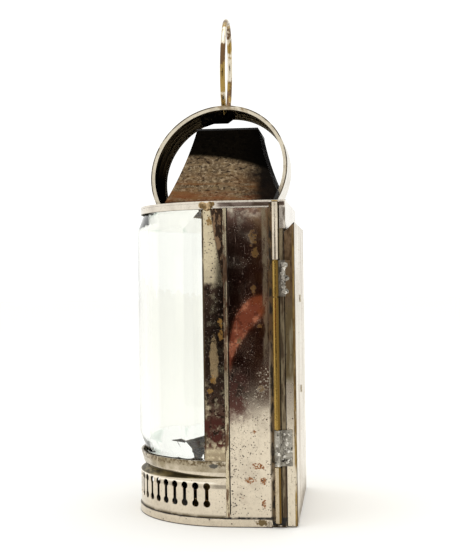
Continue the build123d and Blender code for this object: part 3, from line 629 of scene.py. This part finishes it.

# %% [markdown]
# ## The hood
# The hood sits in the candle's smoke. Its plate has gone, and what is left is heat-browned brass,
# mottled brown, and reddish at the foot where damp gets in. The strap's shadow is painted near black
# above a curved line under its arch, and the side away from the light is painted darker as shade.


# %% Smoked brass
def smoked_hood():
    """Mottled brown patina, with the strap's shadow painted near black above a curved line and painted shade
    on the side away from the light.
    """
    made = new_finish("smoked_brown_brass", "#4F4131", 0.45, 0.55, Specular_IOR_Level=0.12,
                      Specular_Tint=linear("#4A3A2A"))
    lay(made, mottle(made, 14, 0.3, 0.7, stretch=(1, 1, 1.4), seed=1.0), "#6D5B45", 0.5)
    lay(made, mottle(made, 1.7, 0.42, 0.7, stretch=(1, 0.7, 1.3), detail=8, top=0.8), "#7A6649", 0.45)
    lay(made, mottle(made, 0.9, 0.5, 0.64, seed=22.0, stretch=(1, 0.7, 1), top=0.8), "#94836A", 0.45)
    lay(made, mottle(made, 1.2, 0.5, 0.64, seed=2.0, detail=8, stretch=(1, 0.6, 1)), "#2A2017", 0.6)
    lay(made, pits(made, 0.75, 0.24, mottle(made, 6, 0.42, 0.58, seed=6.0), 0.8), "#A8977A", 0.5)
    lay(made, pits(made, 0.9, 0.26, mottle(made, 5, 0.45, 0.6, seed=16.0), 0.9, 3.0), "#120D09", 0.6)
    streaks = mottle(made, 3, 0.4, 0.62, stretch=(1, 0.12, 1.4), seed=4.0, detail=6)
    lay(made, both(made, streaks, fade(made, "z", 133, 125)), "#6B4A2D", 0.5)
    foot = fade(made, "z", 125.5, 121, mottle(made, 3.5, 0.35, 0.65, stretch=(1, 0.3, 2)))
    lay(made, foot, "#6A3D22", 0.55)
    lay(made, fade(made, "z", 121.2, 119.9, mottle(made, 3, 0.2, 0.5)), "#17110C", 0.6)
    # Painted shade: the side of the hood away from the light is painted darker, near black at the edge.
    lay(made, fade(made, "y", 2, 12, mottle(made, 5, 0.25, 0.6, seed=9.0)), "#1D1611", 0.6)
    lay(made, fade(made, "y", 8, 13, top=0.96), "#0D0A08", 0.6)
    # Painted shadow: the strap's arch shades the hood, and its shadow is painted near black above a curved
    # line.
    ahead = add(made.tree, "ShaderNodeMath", {1: 16 * MM}, {0: made.y})
    line = slant(made, made.z, both(made, ahead.outputs[0], ahead.outputs[0]), 6.3)
    painted_strap_shadow = rise(made, line, 137.4 * MM, 139.6 * MM, top=0.985)
    lay(made, painted_strap_shadow, "#060504", 0.6, 1.0)
    press(made, mottle(made, 0.7, 0.3, 0.7, seed=1.0), 0.05)
    return made


FINISH["flue_hood"] = smoked_hood().material
SADDLE = new_finish("sooted_saddle_brass", "#080706", 0.0, 0.85, Specular_IOR_Level=0.0)
lay(SADDLE, mottle(SADDLE, 2.0, 0.55, 0.66), "#2A231A", 0.7)
FINISH["ring_saddle"] = SADDLE.material
print("hood finish has", len(FINISH["flue_hood"].node_tree.nodes), "nodes")


# %% [markdown]
# ## The heat strap
# The strap arches over the hood and keeps the finger ring cool. Outside it is bright and hemmed,
# and inside it is coated with soot. The arch is an ellipse, so the distance from its axis, measured
# in radii, tells the fold of the hem from its outer edge. The inside gets a material of its own.


# %% The heat strap
STRAP_AXIS = Vector((0, -5.25 * MM, 132.9 * MM))


def strap_plate():
    """Bright outside, with brown in the folds and on the edges of its hems."""
    made = nickel("smoked_strap_nickel", "#D2C8B4", 0.18, film=0.3, waves=0.02, specks=0.1)
    turned = add(made.tree, "ShaderNodeMapping",
                 {"Location": STRAP_AXIS, "Rotation": (math.radians(35.2), 0, 0),
                  "Scale": (1e6, 27.1 * MM, 24.3 * MM)}, {"Vector": made.place}, vector_type="TEXTURE")
    ratio = add(made.tree, "ShaderNodeVectorMath", wires={0: turned.outputs["Vector"]}, operation="LENGTH")
    ratio = ratio.outputs["Value"]
    rim = rise(made, from_middle(made), 13.9 * MM, 14.1 * MM)
    fold = both(made, rim, both(made, rise(made, ratio, 1.002, 1.012), rise(made, ratio, 1.03, 1.02)))
    lay(made, both(made, fold, mottle(made, 6, 0.3, 0.5, seed=3.0)), "#4B4031", 0.4)
    outer_edge = both(made, rim, rise(made, ratio, 1.052, 1.062))
    lay(made, both(made, outer_edge, mottle(made, 5, 0.42, 0.55, seed=4.0)), "#6E5F49", 0.35)
    lay(made, both(made, rim, mottle(made, 7, 0.5, 0.64, seed=2.0, top=0.8)), "#8B7555", 0.3)
    return made.material


def strap_lining():
    """The strap's underside, brown metal under a sooty coat that shines nowhere."""
    made = new_finish("sooted_strap_lining", "#0B0907", 0.0, 0.9, Specular_IOR_Level=0.0)
    streaks = mottle(made, 3, 0.45, 0.62, stretch=(1.6, 0.16, 0.16), seed=3.0)
    lay(made, both(made, streaks, fade(made, "z", 130, 143)), "#5A4C37", 0.7)
    hot = mottle(made, 2, 0.5, 0.62, stretch=(1.6, 0.12, 0.12), seed=6.0)
    lay(made, both(made, hot, fade(made, "z", 138, 147)), "#85765A", 0.6)
    press(made, mottle(made, 1.0, 0.3, 0.7), 0.05)
    return made.material


FINISH["heat_strap"] = strap_plate()
print("strap finish has", len(FINISH["heat_strap"].node_tree.nodes), "nodes")

# %% [markdown]
# ## Brass, solder and the worn ring
# Where hands and hinges rub, the nickel has gone and dull gold brass shows. Soft solder is grey,
# rough and lumpy. The finger ring is drawn wire, silver where the plate holds and gold where it
# doesn't.

# %% Brass, solder and ring
def brass(name, colour="#A98C50", roughness=0.28, dirt=0.7):
    """Dull gold brass with brown dirt in patches."""
    made = new_finish(name, colour, 1.0, roughness)
    lay(made, mottle(made, 3, 0.45, 0.66, top=dirt, stretch=(1, 1, 0.4)), "#5D451D", roughness + 0.2)
    lay(made, pits(made, 1.3, 0.22, top=dirt), "#2B200F", 0.6, 0.4)
    press(made, mottle(made, 1.5, 0.3, 0.7, stretch=(1, 1, 0.3)), 0.02)
    return made


def solder():
    """Soft solder, dull grey and grainy, with bright ridges."""
    made = new_finish("lumpy_soft_solder", "#A8A398", 1.0, 0.3)
    lay(made, mottle(made, 2.4, 0.42, 0.62, top=0.8), "#6B665D", 0.45)
    lay(made, mottle(made, 2.6, 0.56, 0.64, seed=7.0), "#34302C", 0.6)
    lay(made, mottle(made, 1.6, 0.57, 0.66, seed=2.0, detail=2), "#E2DED4", 0.22)
    press(made, mottle(made, 0.9, 0.3, 0.7, seed=3.0), 0.16)
    return made


def ring_metal():
    """Silver wire with gold and brown patches along it."""
    made = nickel("rubbed_ring_nickel", "#DAD0BC", 0.2, film=0.15, waves=0.0, specks=0.0)
    lay(made, mottle(made, 9, 0.47, 0.53, seed=3.0, stretch=(1, 1, 0.7)), "#9C8148", 0.25)
    lay(made, mottle(made, 7, 0.55, 0.6, seed=8.0, stretch=(1, 1, 0.7)), "#6B5238", 0.3)
    lay(made, fade(made, "z", 160.5, 158.5), "#7A6434", 0.35)
    return made


def hinge_tube(name, colour):
    """A knuckle of the hinge: a narrow tube with a dark seam where it meets the sheet."""
    made = brass(name, colour, 0.22, 0.35)
    lay(made, fade(made, "x", 39.1, 38.75), "#15110B", 0.6, 0.2)
    lay(made, both(made, fade(made, "y", 18.2, 18.5), fade(made, "y", 19.4, 19.1)), "#6B5326", 0.4)
    leaf = fade(made, "y", 19.0, 19.3)
    lay(made, leaf, "#8F897E", 0.36)
    lay(made, both(made, leaf, mottle(made, 2.6, 0.42, 0.6, seed=5.0)), "#4B463F", 0.5)
    lay(made, fade(made, "y", 21.4, 21.8), "#7A664C", 0.36)
    return made.material


SOLDER = solder().material
BRASS = brass("dull_gold_brass").material
FINISH.update({
    "finger_ring": ring_metal().material,
    "hinge_knuckle_head": nickel("plated_knuckle", "#DCD0BC", 0.15, 0.3).material,
    "hinge_knuckle_middle": hinge_tube("rubbed_knuckle_brass", "#A88A4A"),
    "door_knuckle_upper": hinge_tube("rubbed_leaf_brass", "#A88A4A"),
    "door_knuckle_lower": solder().material,
    "hinge_knuckle_foot": hinge_tube("browned_foot_knuckle", "#BFB096"),
    "hinge_pin": BRASS, "glass_clips": BRASS, "catch_pin": BRASS,
    "reflector_rivets": nickel("plated_rivet", "#DAD2C2", 0.14, 0.15, specks=0.1).material,
    "latch_stud": BRASS, "cup_rivet": BRASS, "door_solder": SOLDER,
    "drip_pan": brass("waxed_pan_brass", "#A78345", 0.3, 0.8).material,
    "candle_cup": brass("waxed_cup_brass", "#AD8848", 0.3, 0.8).material,
    "latch_hook": nickel("plated_hook", "#CFC3AE", 0.2, 0.5).material,
    "reflector": nickel("smoked_reflector_plate", "#DAD3C6", 0.1, 0.45, 0.01).material,
})
print(len(FINISH), "of", len(frame["nodes"]), "solids have a finish")


# %% [markdown]
# ## The door
# The door is a shallow pan. Its back is dulled by handling, its inside by smoke, and its narrow
# side flange runs from dark brown at the top to pale below, with brass showing along the outer
# edge. Masks by depth and by distance from the middle tell the three apart.


# %% The door
def door_plate():
    """Dark brown at the top of the flange, grey in the middle and pale below, with a brass edge."""
    made = nickel("door_nickel", "#D8CDB9", 0.2, film=0.1, waves=0.02, specks=0.45)
    back = fade(made, "y", 24.7, 24.9)
    handled = mottle(made, 16, 0.35, 0.75, back, stretch=(1, 1, 0.5), seed=41.0, detail=10)
    lay(made, handled, "#A08E74", 0.32)
    lay(made, mottle(made, 1.2, 0.58, 0.7, back, stretch=(0.08, 1, 1), seed=43.0), roughness=0.4)
    rubbed = both(made, back, fade(made, "x", -33, -37, mottle(made, 5, 0.4, 0.6, seed=45.0)))
    lay(made, rubbed, "#9A8150", 0.3)
    lay(made, both(made, back, fade(made, "z", 8, 2, mottle(made, 4, 0.3, 0.6, seed=47.0))), "#6E5C45", 0.4)
    back_pits = pits(made, 1.6, 0.2, mottle(made, 8, 0.5, 0.6, back, seed=49.0), 0.9)
    lay(made, back_pits, "#33281C", 0.6, 0.3)
    aside = from_middle(made)
    flange = both(made, fade(made, "y", 25.0, 24.9), rise(made, aside, 37.6 * MM, 37.8 * MM))
    inside = both(made, fade(made, "y", 24.5, 24.3), rise(made, aside, 37.8 * MM, 37.6 * MM))
    lay(made, inside, "#6F6456", 0.42)
    lay(made, mottle(made, 12, 0.35, 0.7, inside, seed=51.0, detail=8), "#3F372E", 0.5)
    inner_pits = pits(made, 1.4, 0.24, mottle(made, 6, 0.45, 0.58, inside, seed=53.0))
    lay(made, inner_pits, "#1E1812", 0.6, 0.3)
    top = both(made, flange, fade(made, "z", 78, 88))
    middle = both(made, flange, both(made, fade(made, "z", 50, 56), fade(made, "z", 92, 78)))
    lay(made, middle, "#A59A80", 0.34)
    lay(made, both(made, middle, mottle(made, 1.8, 0.4, 0.6, stretch=(1, 1, 0.12))), "#6E5F44", 0.4)
    lay(made, top, "#7D664D", 0.36)
    lay(made, both(made, top, mottle(made, 1.6, 0.4, 0.6, stretch=(1, 1, 0.4))), "#564330", 0.4)
    outer = both(made, fade(made, "y", 23.9, 24.2), flange)
    worn = both(made, outer, mottle(made, 5, 0.35, 0.5, stretch=(1, 1, 0.3), seed=2.0))
    lay(made, worn, "#9A8150", 0.34)
    lay(made, both(made, worn, mottle(made, 3, 0.45, 0.58, stretch=(1, 1, 0.3), seed=12.0)), "#6A5433", 0.4)
    flange_pits = pits(made, 1.3, 0.24, mottle(made, 3, 0.4, 0.55, flange, seed=5.0))
    lay(made, flange_pits, "#3D2C1B", 0.6, 0.3)
    last_edge = both(made, flange, fade(made, "y", 24.6, 24.75))
    lay(made, mottle(made, 6, 0.3, 0.5, last_edge, stretch=(1, 1, 0.3), seed=14.0), "#4A3B28", 0.4)
    lay(made, both(made, fade(made, "z", 110.4, 111.4), flange), GRIME, 0.7, 0.2)
    return made.material


FINISH["door_pan"] = door_plate()
print("door finish has", len(FINISH["door_pan"].node_tree.nodes), "nodes")

# %% [markdown]
# ## Glass
# The bowed pane is clear crown glass, ground to a bevel on all four edges. It is nearly colourless
# face on, and green where light travels along it, at the bevels and the edge.


# %% Glass
def window_glass():
    """Clear glass with a breath of green in the ground edges."""
    made = new_finish("bowed_bevelled_glass", "#FCFDFA", 0.0, 0.0, IOR=1.45, Transmission_Weight=1.0)
    prow = fade(made, "y", -35.5, -37.0)
    low = both(made, prow, fade(made, "z", 30.0, 28.6))
    high = both(made, prow, fade(made, "z", 110.2, 111.4))
    for mask in (low, high):
        lay(made, mask, "#D2E2D7")
    press(made, mottle(made, 30, 0.3, 0.7, detail=1), 0.03)
    return made.material


GLASS = window_glass()
FINISH["bevelled_glass"] = GLASS
print("glass has", len(GLASS.node_tree.nodes), "nodes")

# %% [markdown]
# ## Softening the sheet metal
# No folded edge is truly sharp, and a hair-thin rounded edge is what catches the light. A solid
# from CAD is loose triangles, so a copy is merged, its flat faces are joined, and a bevel modifier
# rounds its edges. The copy then stands in for the solid.


# %% Dress the CAD pieces
def select_only(made):
    """Deselects everything, then selects and activates one object."""
    bpy.ops.object.select_all(action="DESELECT")
    made.select_set(True)
    bpy.context.view_layer.objects.active = made


def apply_all(made):
    """Applies every modifier in order."""
    select_only(made)
    for name in [m.name for m in made.modifiers]:
        bpy.ops.object.modifier_apply(modifier=name)


def settle(made):
    """Puts the object at the origin, unturned and unscaled, with its place in its mesh."""
    select_only(made)
    bpy.ops.object.transform_apply(location=True, rotation=True, scale=True)


FOLD_ANGLE = math.radians(32)  # an edge that turns by more than this is a fold, and is rounded


def dress(node, edge, finish):
    """A merged copy of a solid with its edges rounded by so many millimetres, which stands in for it."""
    source = frame["nodes"][node]
    made = bpy.data.objects.new(f"{node}_finished", source.data.copy())
    bpy.context.scene.collection.objects.link(made)
    select_only(made)
    bpy.ops.mesh.customdata_custom_splitnormals_clear()
    bpy.ops.object.mode_set(mode="EDIT")
    bpy.ops.mesh.select_all(action="SELECT")
    bpy.ops.mesh.remove_doubles(threshold=0.002 * MM)
    bpy.ops.mesh.dissolve_limited(angle_limit=math.radians(0.6))
    bpy.ops.object.mode_set(mode="OBJECT")
    round_off = made.modifiers.new("round_off", "BEVEL")
    round_off.width = edge * MM
    round_off.segments = 2
    round_off.limit_method = "ANGLE"
    round_off.angle_limit = FOLD_ANGLE
    apply_all(made)
    bpy.ops.object.shade_smooth_by_angle(angle=FOLD_ANGLE)
    true_flats = made.modifiers.new("true_flats", "WEIGHTED_NORMAL")
    true_flats.weight = 100
    true_flats.keep_sharp = True
    apply_all(made)
    made.data.materials.clear()
    made.data.materials.append(finish)
    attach(made, source["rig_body"])
    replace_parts(made, node)
    return made


edges = {"vent_skirt": 0.12, "side_wall_right": 0.15, "side_wall_left": 0.15, "stile_right": 0.15,
         "stile_left": 0.15, "door_frame": 0.15, "crown_plate": 0.18, "front_cornice": 0.18,
         "base_pan": 0.18, "flue_hood": 0.15, "heat_strap": 0.2, "ring_saddle": 0.2, "door_pan": 0.18,
         "reflector": 0.12, "latch_hook": 0.18, "drip_pan": 0.15, "candle_cup": 0.15,
         "glass_clips": 0.12, "reflector_rivets": 0.3, "latch_stud": 0.35, "cup_rivet": 0.3,
         "catch_pin": 0.2, "hinge_pin": 0.15, "hinge_knuckle_foot": 0.12,
         "hinge_knuckle_middle": 0.12, "hinge_knuckle_head": 0.12, "door_knuckle_lower": 0.12,
         "door_knuckle_upper": 0.12, "bevelled_glass": 0.1}
dressed = {node: dress(node, edge, FINISH[node]) for node, edge in edges.items()}
for node, solid in frame["nodes"].items():
    if node in FINISH and node not in edges:
        solid.data.materials.clear()
        solid.data.materials.append(FINISH[node])
strap = dressed["heat_strap"]
strap.data.materials.append(strap_lining())
for face in strap.data.polygons:
    inward = STRAP_AXIS - face.center
    inward.x = 0
    if face.normal.dot(inward.normalized()) > 0.5:
        face.material_index = 1
print(len(dressed), "pieces dressed,", sum(len(p.data.polygons) for p in dressed.values()), "faces")

# %% [markdown]
# ## Lumps of solder
# A blob of solder is a drop that froze while it ran. Each starts as a fine icosphere, stretched
# along its joint, roughened by moving its points at random along their normals, and smoothed.


# %% Solder lumps
def lump(name, centre, radii, seed, rough=0.12):
    """A frozen drop of solder. Centre and radii are in millimetres."""
    bpy.ops.mesh.primitive_ico_sphere_add(subdivisions=4, radius=1, location=[c * MM for c in centre])
    made = bpy.context.object
    made.name = name
    made.scale = [r * MM for r in radii]
    settle(made)
    bpy.ops.object.mode_set(mode="EDIT")
    bpy.ops.mesh.select_all(action="SELECT")
    bpy.ops.transform.vertex_random(offset=rough * MM, uniform=0.1, normal=1.0, seed=seed)
    bpy.ops.mesh.vertices_smooth(factor=0.5, repeat=2)
    bpy.ops.object.mode_set(mode="OBJECT")
    bpy.ops.object.shade_smooth()
    return made


def join(pieces, name):
    """Joins several meshes into one piece."""
    bpy.ops.object.select_all(action="DESELECT")
    for piece in pieces:
        piece.select_set(True)
    bpy.context.view_layer.objects.active = pieces[0]
    bpy.ops.object.join()
    pieces[0].name = name
    return pieces[0]


LEAF_GAP = 0.06  # from the case's side wall to the back of the solder on the leaves, in millimetres


def solder_run(name, low, high, body, seed):
    """A row of lumps up the joint between a hinge leaf and the door."""
    count = max(3, round((high - low) / 1.7))
    drops = []
    for number in range(count):
        z = low + (number + 0.5) * (high - low) / count
        wobble = math.sin(2.3 * number + seed)
        drops.append(lump(f"drop_{number}", (39.2 + 0.15 * wobble, 20.9 + 0.45 * wobble, z),
                          (0.7, 1.35 + 0.4 * math.cos(1.7 * number + seed), 1.2), seed + number, 0.22))
    made = join(drops, name)
    # The lumps turn with the door, so their flat back stays clear of the case's side wall.
    for vertex in made.data.vertices:
        vertex.co.x = max(vertex.co.x, (CASE_HALF + LEAF_GAP) * MM)
    made.data.materials.append(SOLDER)
    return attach(made, body)


upper_run = solder_run("upper_leaf_solder", 85.6, 96.9, "door", 1)
lower_run = solder_run("lower_leaf_solder", 23.6, 34.9, "door", 4)
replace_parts(upper_run, "door_solder")
cornice_drops = ((38.5, -8.9, 118.5, (0.7, 1.3, 1.3)), (38.7, -7.4, 117.9, (0.9, 1.4, 1.5)),
                 (38.8, -5.9, 118.4, (0.8, 1.0, 1.5)), (38.6, -4.8, 118.9, (0.7, 0.9, 0.9)))
for sign, word in ((1, "right"), (-1, "left")):
    ends = [lump(f"end_{number}", (sign * x, y, z), radii, number, 0.08)
            for number, (x, y, z, radii) in enumerate(cornice_drops)]
    blob = join(ends, f"cornice_solder_{word}")
    blob.data.materials.append(brass(f"browned_solder_{word}", "#B9A07C", 0.3, 0.9).material)
    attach(blob, "case")
print("solder:", upper_run.name, lower_run.name, "and two cornice ends")

# %% [markdown]
# ## The hood's folded mouth
# A raw edge of sheet would cut a finger, so the mouth of the hood is folded over. It starts as a
# flat rectangle, which is inset and left open in the middle, then drawn down and rounded.

# %% Folded mouth of the hood
hood_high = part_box("flue_hood")[1]
mouth_y = (-13.1, 10.3)
mouth_half_x = 16.5
fold_proud = 0.25  # how far the fold stands out round the mouth, in millimetres
bpy.ops.mesh.primitive_plane_add(size=1, location=(0, sum(mouth_y) / 2 * MM, hood_high.z))
mouth = bpy.context.object
mouth.name = "hood_mouth_fold"
mouth.scale = (2 * (mouth_half_x + fold_proud) * MM, (mouth_y[1] - mouth_y[0] + 2 * fold_proud) * MM, 1)
settle(mouth)
bpy.ops.object.mode_set(mode="EDIT")
bpy.ops.mesh.select_all(action="SELECT")
bpy.ops.mesh.inset(thickness=1.25 * MM, depth=0)
bpy.ops.mesh.delete(type="FACE")
bpy.ops.mesh.select_all(action="SELECT")
bpy.ops.mesh.extrude_region_move(TRANSFORM_OT_translate={"value": (0, 0, -1.5 * MM)})
bpy.ops.mesh.select_all(action="SELECT")
bpy.ops.mesh.normals_make_consistent(inside=False)
bpy.ops.object.mode_set(mode="OBJECT")
soften = mouth.modifiers.new("soften", "BEVEL")
soften.width = 0.25 * MM
soften.segments = 3
apply_all(mouth)
bpy.ops.object.shade_smooth_by_angle(angle=math.radians(40))
mouth.data.materials.append(new_finish("sooted_fold", "#0A0807", 0.3, 0.6).material)
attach(mouth, "case")
print("mouth fold has", len(mouth.data.polygons), "faces")

# %% [markdown]
# ## The candle
# A tallow candle that has burned is a short fat cylinder with a cup of melted wax round its wick
# and runs of wax down its sides. The cylinder's top is inset and sunk for the cup, drops are laid
# down the side, and a voxel remesh melts them together.

# %% Melted candle
wax_low, wax_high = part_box("candle")
wax_centre = (wax_low + wax_high) / 2
wax_radius = (wax_high.x - wax_low.x) / 2
bpy.ops.mesh.primitive_cylinder_add(vertices=64, radius=wax_radius - 0.5 * MM,
                                    depth=wax_high.z - wax_low.z, location=wax_centre)
wax = bpy.context.object
wax.name = "burned_candle"
settle(wax)
bpy.ops.object.mode_set(mode="EDIT")
bpy.ops.mesh.select_all(action="DESELECT")
bpy.ops.object.mode_set(mode="OBJECT")
for face in wax.data.polygons:
    face.select = face.normal.z > 0.9
bpy.ops.object.mode_set(mode="EDIT")
bpy.ops.mesh.inset(thickness=1.6 * MM, depth=0)
bpy.ops.mesh.inset(thickness=1.4 * MM, depth=-1.6 * MM)
bpy.ops.mesh.inset(thickness=2.5 * MM, depth=-0.6 * MM)
bpy.ops.object.mode_set(mode="OBJECT")
wax_runs = ((20, 16), (75, 8), (130, 22), (190, 11), (245, 27), (300, 9), (338, 19))  # degrees, length
out = wax_radius - 0.75 * MM
runs = []
for angle, length in wax_runs:
    spot = Vector((math.cos(math.radians(angle)) * out, math.sin(math.radians(angle)) * out, 0))
    for share in (0.0, 0.35, 0.7, 1.0):
        z = wax_high.z - 0.9 * MM - length * share * MM
        fat = (0.62 + 0.16 * share) if share < 1 else 0.74
        bpy.ops.mesh.primitive_uv_sphere_add(segments=20, ring_count=12, radius=fat * MM,
                                             location=(wax_centre.x + spot.x, wax_centre.y + spot.y, z))
        drop = bpy.context.object
        drop.scale = (1, 1, 0.5 * length * 0.36 / fat if share < 1 else 1.5)
        runs.append(drop)
wax = join([wax, *runs], "burned_candle")
settle(wax)
melt = wax.modifiers.new("melt", "REMESH")
melt.mode = "VOXEL"
melt.voxel_size = 0.32 * MM
soft = wax.modifiers.new("soft", "SMOOTH")
soft.iterations = 6
soft.factor = 0.6
apply_all(wax)
bpy.ops.object.shade_smooth()
tallow = new_finish("tallow_wax", "#E6D9BC", 0.0, 0.38, Subsurface_Weight=0.35,
                    Subsurface_Scale=3 * MM, IOR=1.44)
lay(tallow, mottle(tallow, 6, 0.45, 0.7, top=0.5), "#CDB98F", 0.5)
lay(tallow, fade(tallow, "z", wax_high.z / MM - 3.2, wax_high.z / MM - 1.2, top=0.35), "#B79E6E", 0.3)
scorch = patch(tallow, (0, wax_centre.y / MM, wax_high.z / MM - 2), (3.2, 3.2, 1.6), top=0.6)
lay(tallow, scorch, "#4A3B28", 0.4)
press(tallow, mottle(tallow, 2.5, 0.3, 0.7), 0.08)
wax.data.materials.append(tallow.material)
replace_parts(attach(wax, "candle"), "candle")
print("candle has", len(wax.data.polygons), "faces")

# %% [markdown]
# ## The wick
# A wick is a few cotton strands twisted together, and its burned end is charred black. A screw
# modifier sweeps a small disc up a helix, which gives one strand, and three of them make the wick.

# %% Twisted wick
wick_low, wick_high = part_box("wick")
wick_radius = (wick_high.x - wick_low.x) / 2
strand_count = 3
turns = 5
strands = []
for number in range(strand_count):
    bpy.ops.mesh.primitive_circle_add(vertices=12, radius=0.5 * wick_radius, fill_type="NGON")
    strand = bpy.context.object
    around = 2 * math.pi * number / strand_count
    strand.location = (0.48 * wick_radius * math.cos(around), 0.48 * wick_radius * math.sin(around), 0)
    settle(strand)
    twist = strand.modifiers.new("twist", "SCREW")
    twist.angle = 2 * math.pi * turns
    twist.screw_offset = wick_high.z - wick_low.z - 0.4 * MM
    twist.steps = 90
    twist.render_steps = 90
    twist.use_merge_vertices = True
    apply_all(strand)
    strands.append(strand)
wick = join(strands, "twisted_wick")
wick.location = ((wick_low.x + wick_high.x) / 2, (wick_low.y + wick_high.y) / 2, wick_low.z + 0.2 * MM)
settle(wick)
bpy.ops.object.mode_set(mode="EDIT")
bpy.ops.mesh.select_all(action="SELECT")
bpy.ops.mesh.remove_doubles(threshold=0.001 * MM)
bpy.ops.mesh.normals_make_consistent(inside=False)
bpy.ops.object.mode_set(mode="OBJECT")
bpy.ops.object.shade_smooth()
cotton = new_finish("charred_cotton", "#B9AA8C", 0.0, 0.9)
lay(cotton, fade(cotton, "z", wick_high.z / MM - 7.5, wick_high.z / MM - 5.5), "#14110E", 0.95)
press(cotton, mottle(cotton, 0.25, 0.3, 0.7), 0.03)
wick.data.materials.append(cotton.material)
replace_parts(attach(wick, "candle"), "wick")
print("wick has", len(wick.data.polygons), "faces")
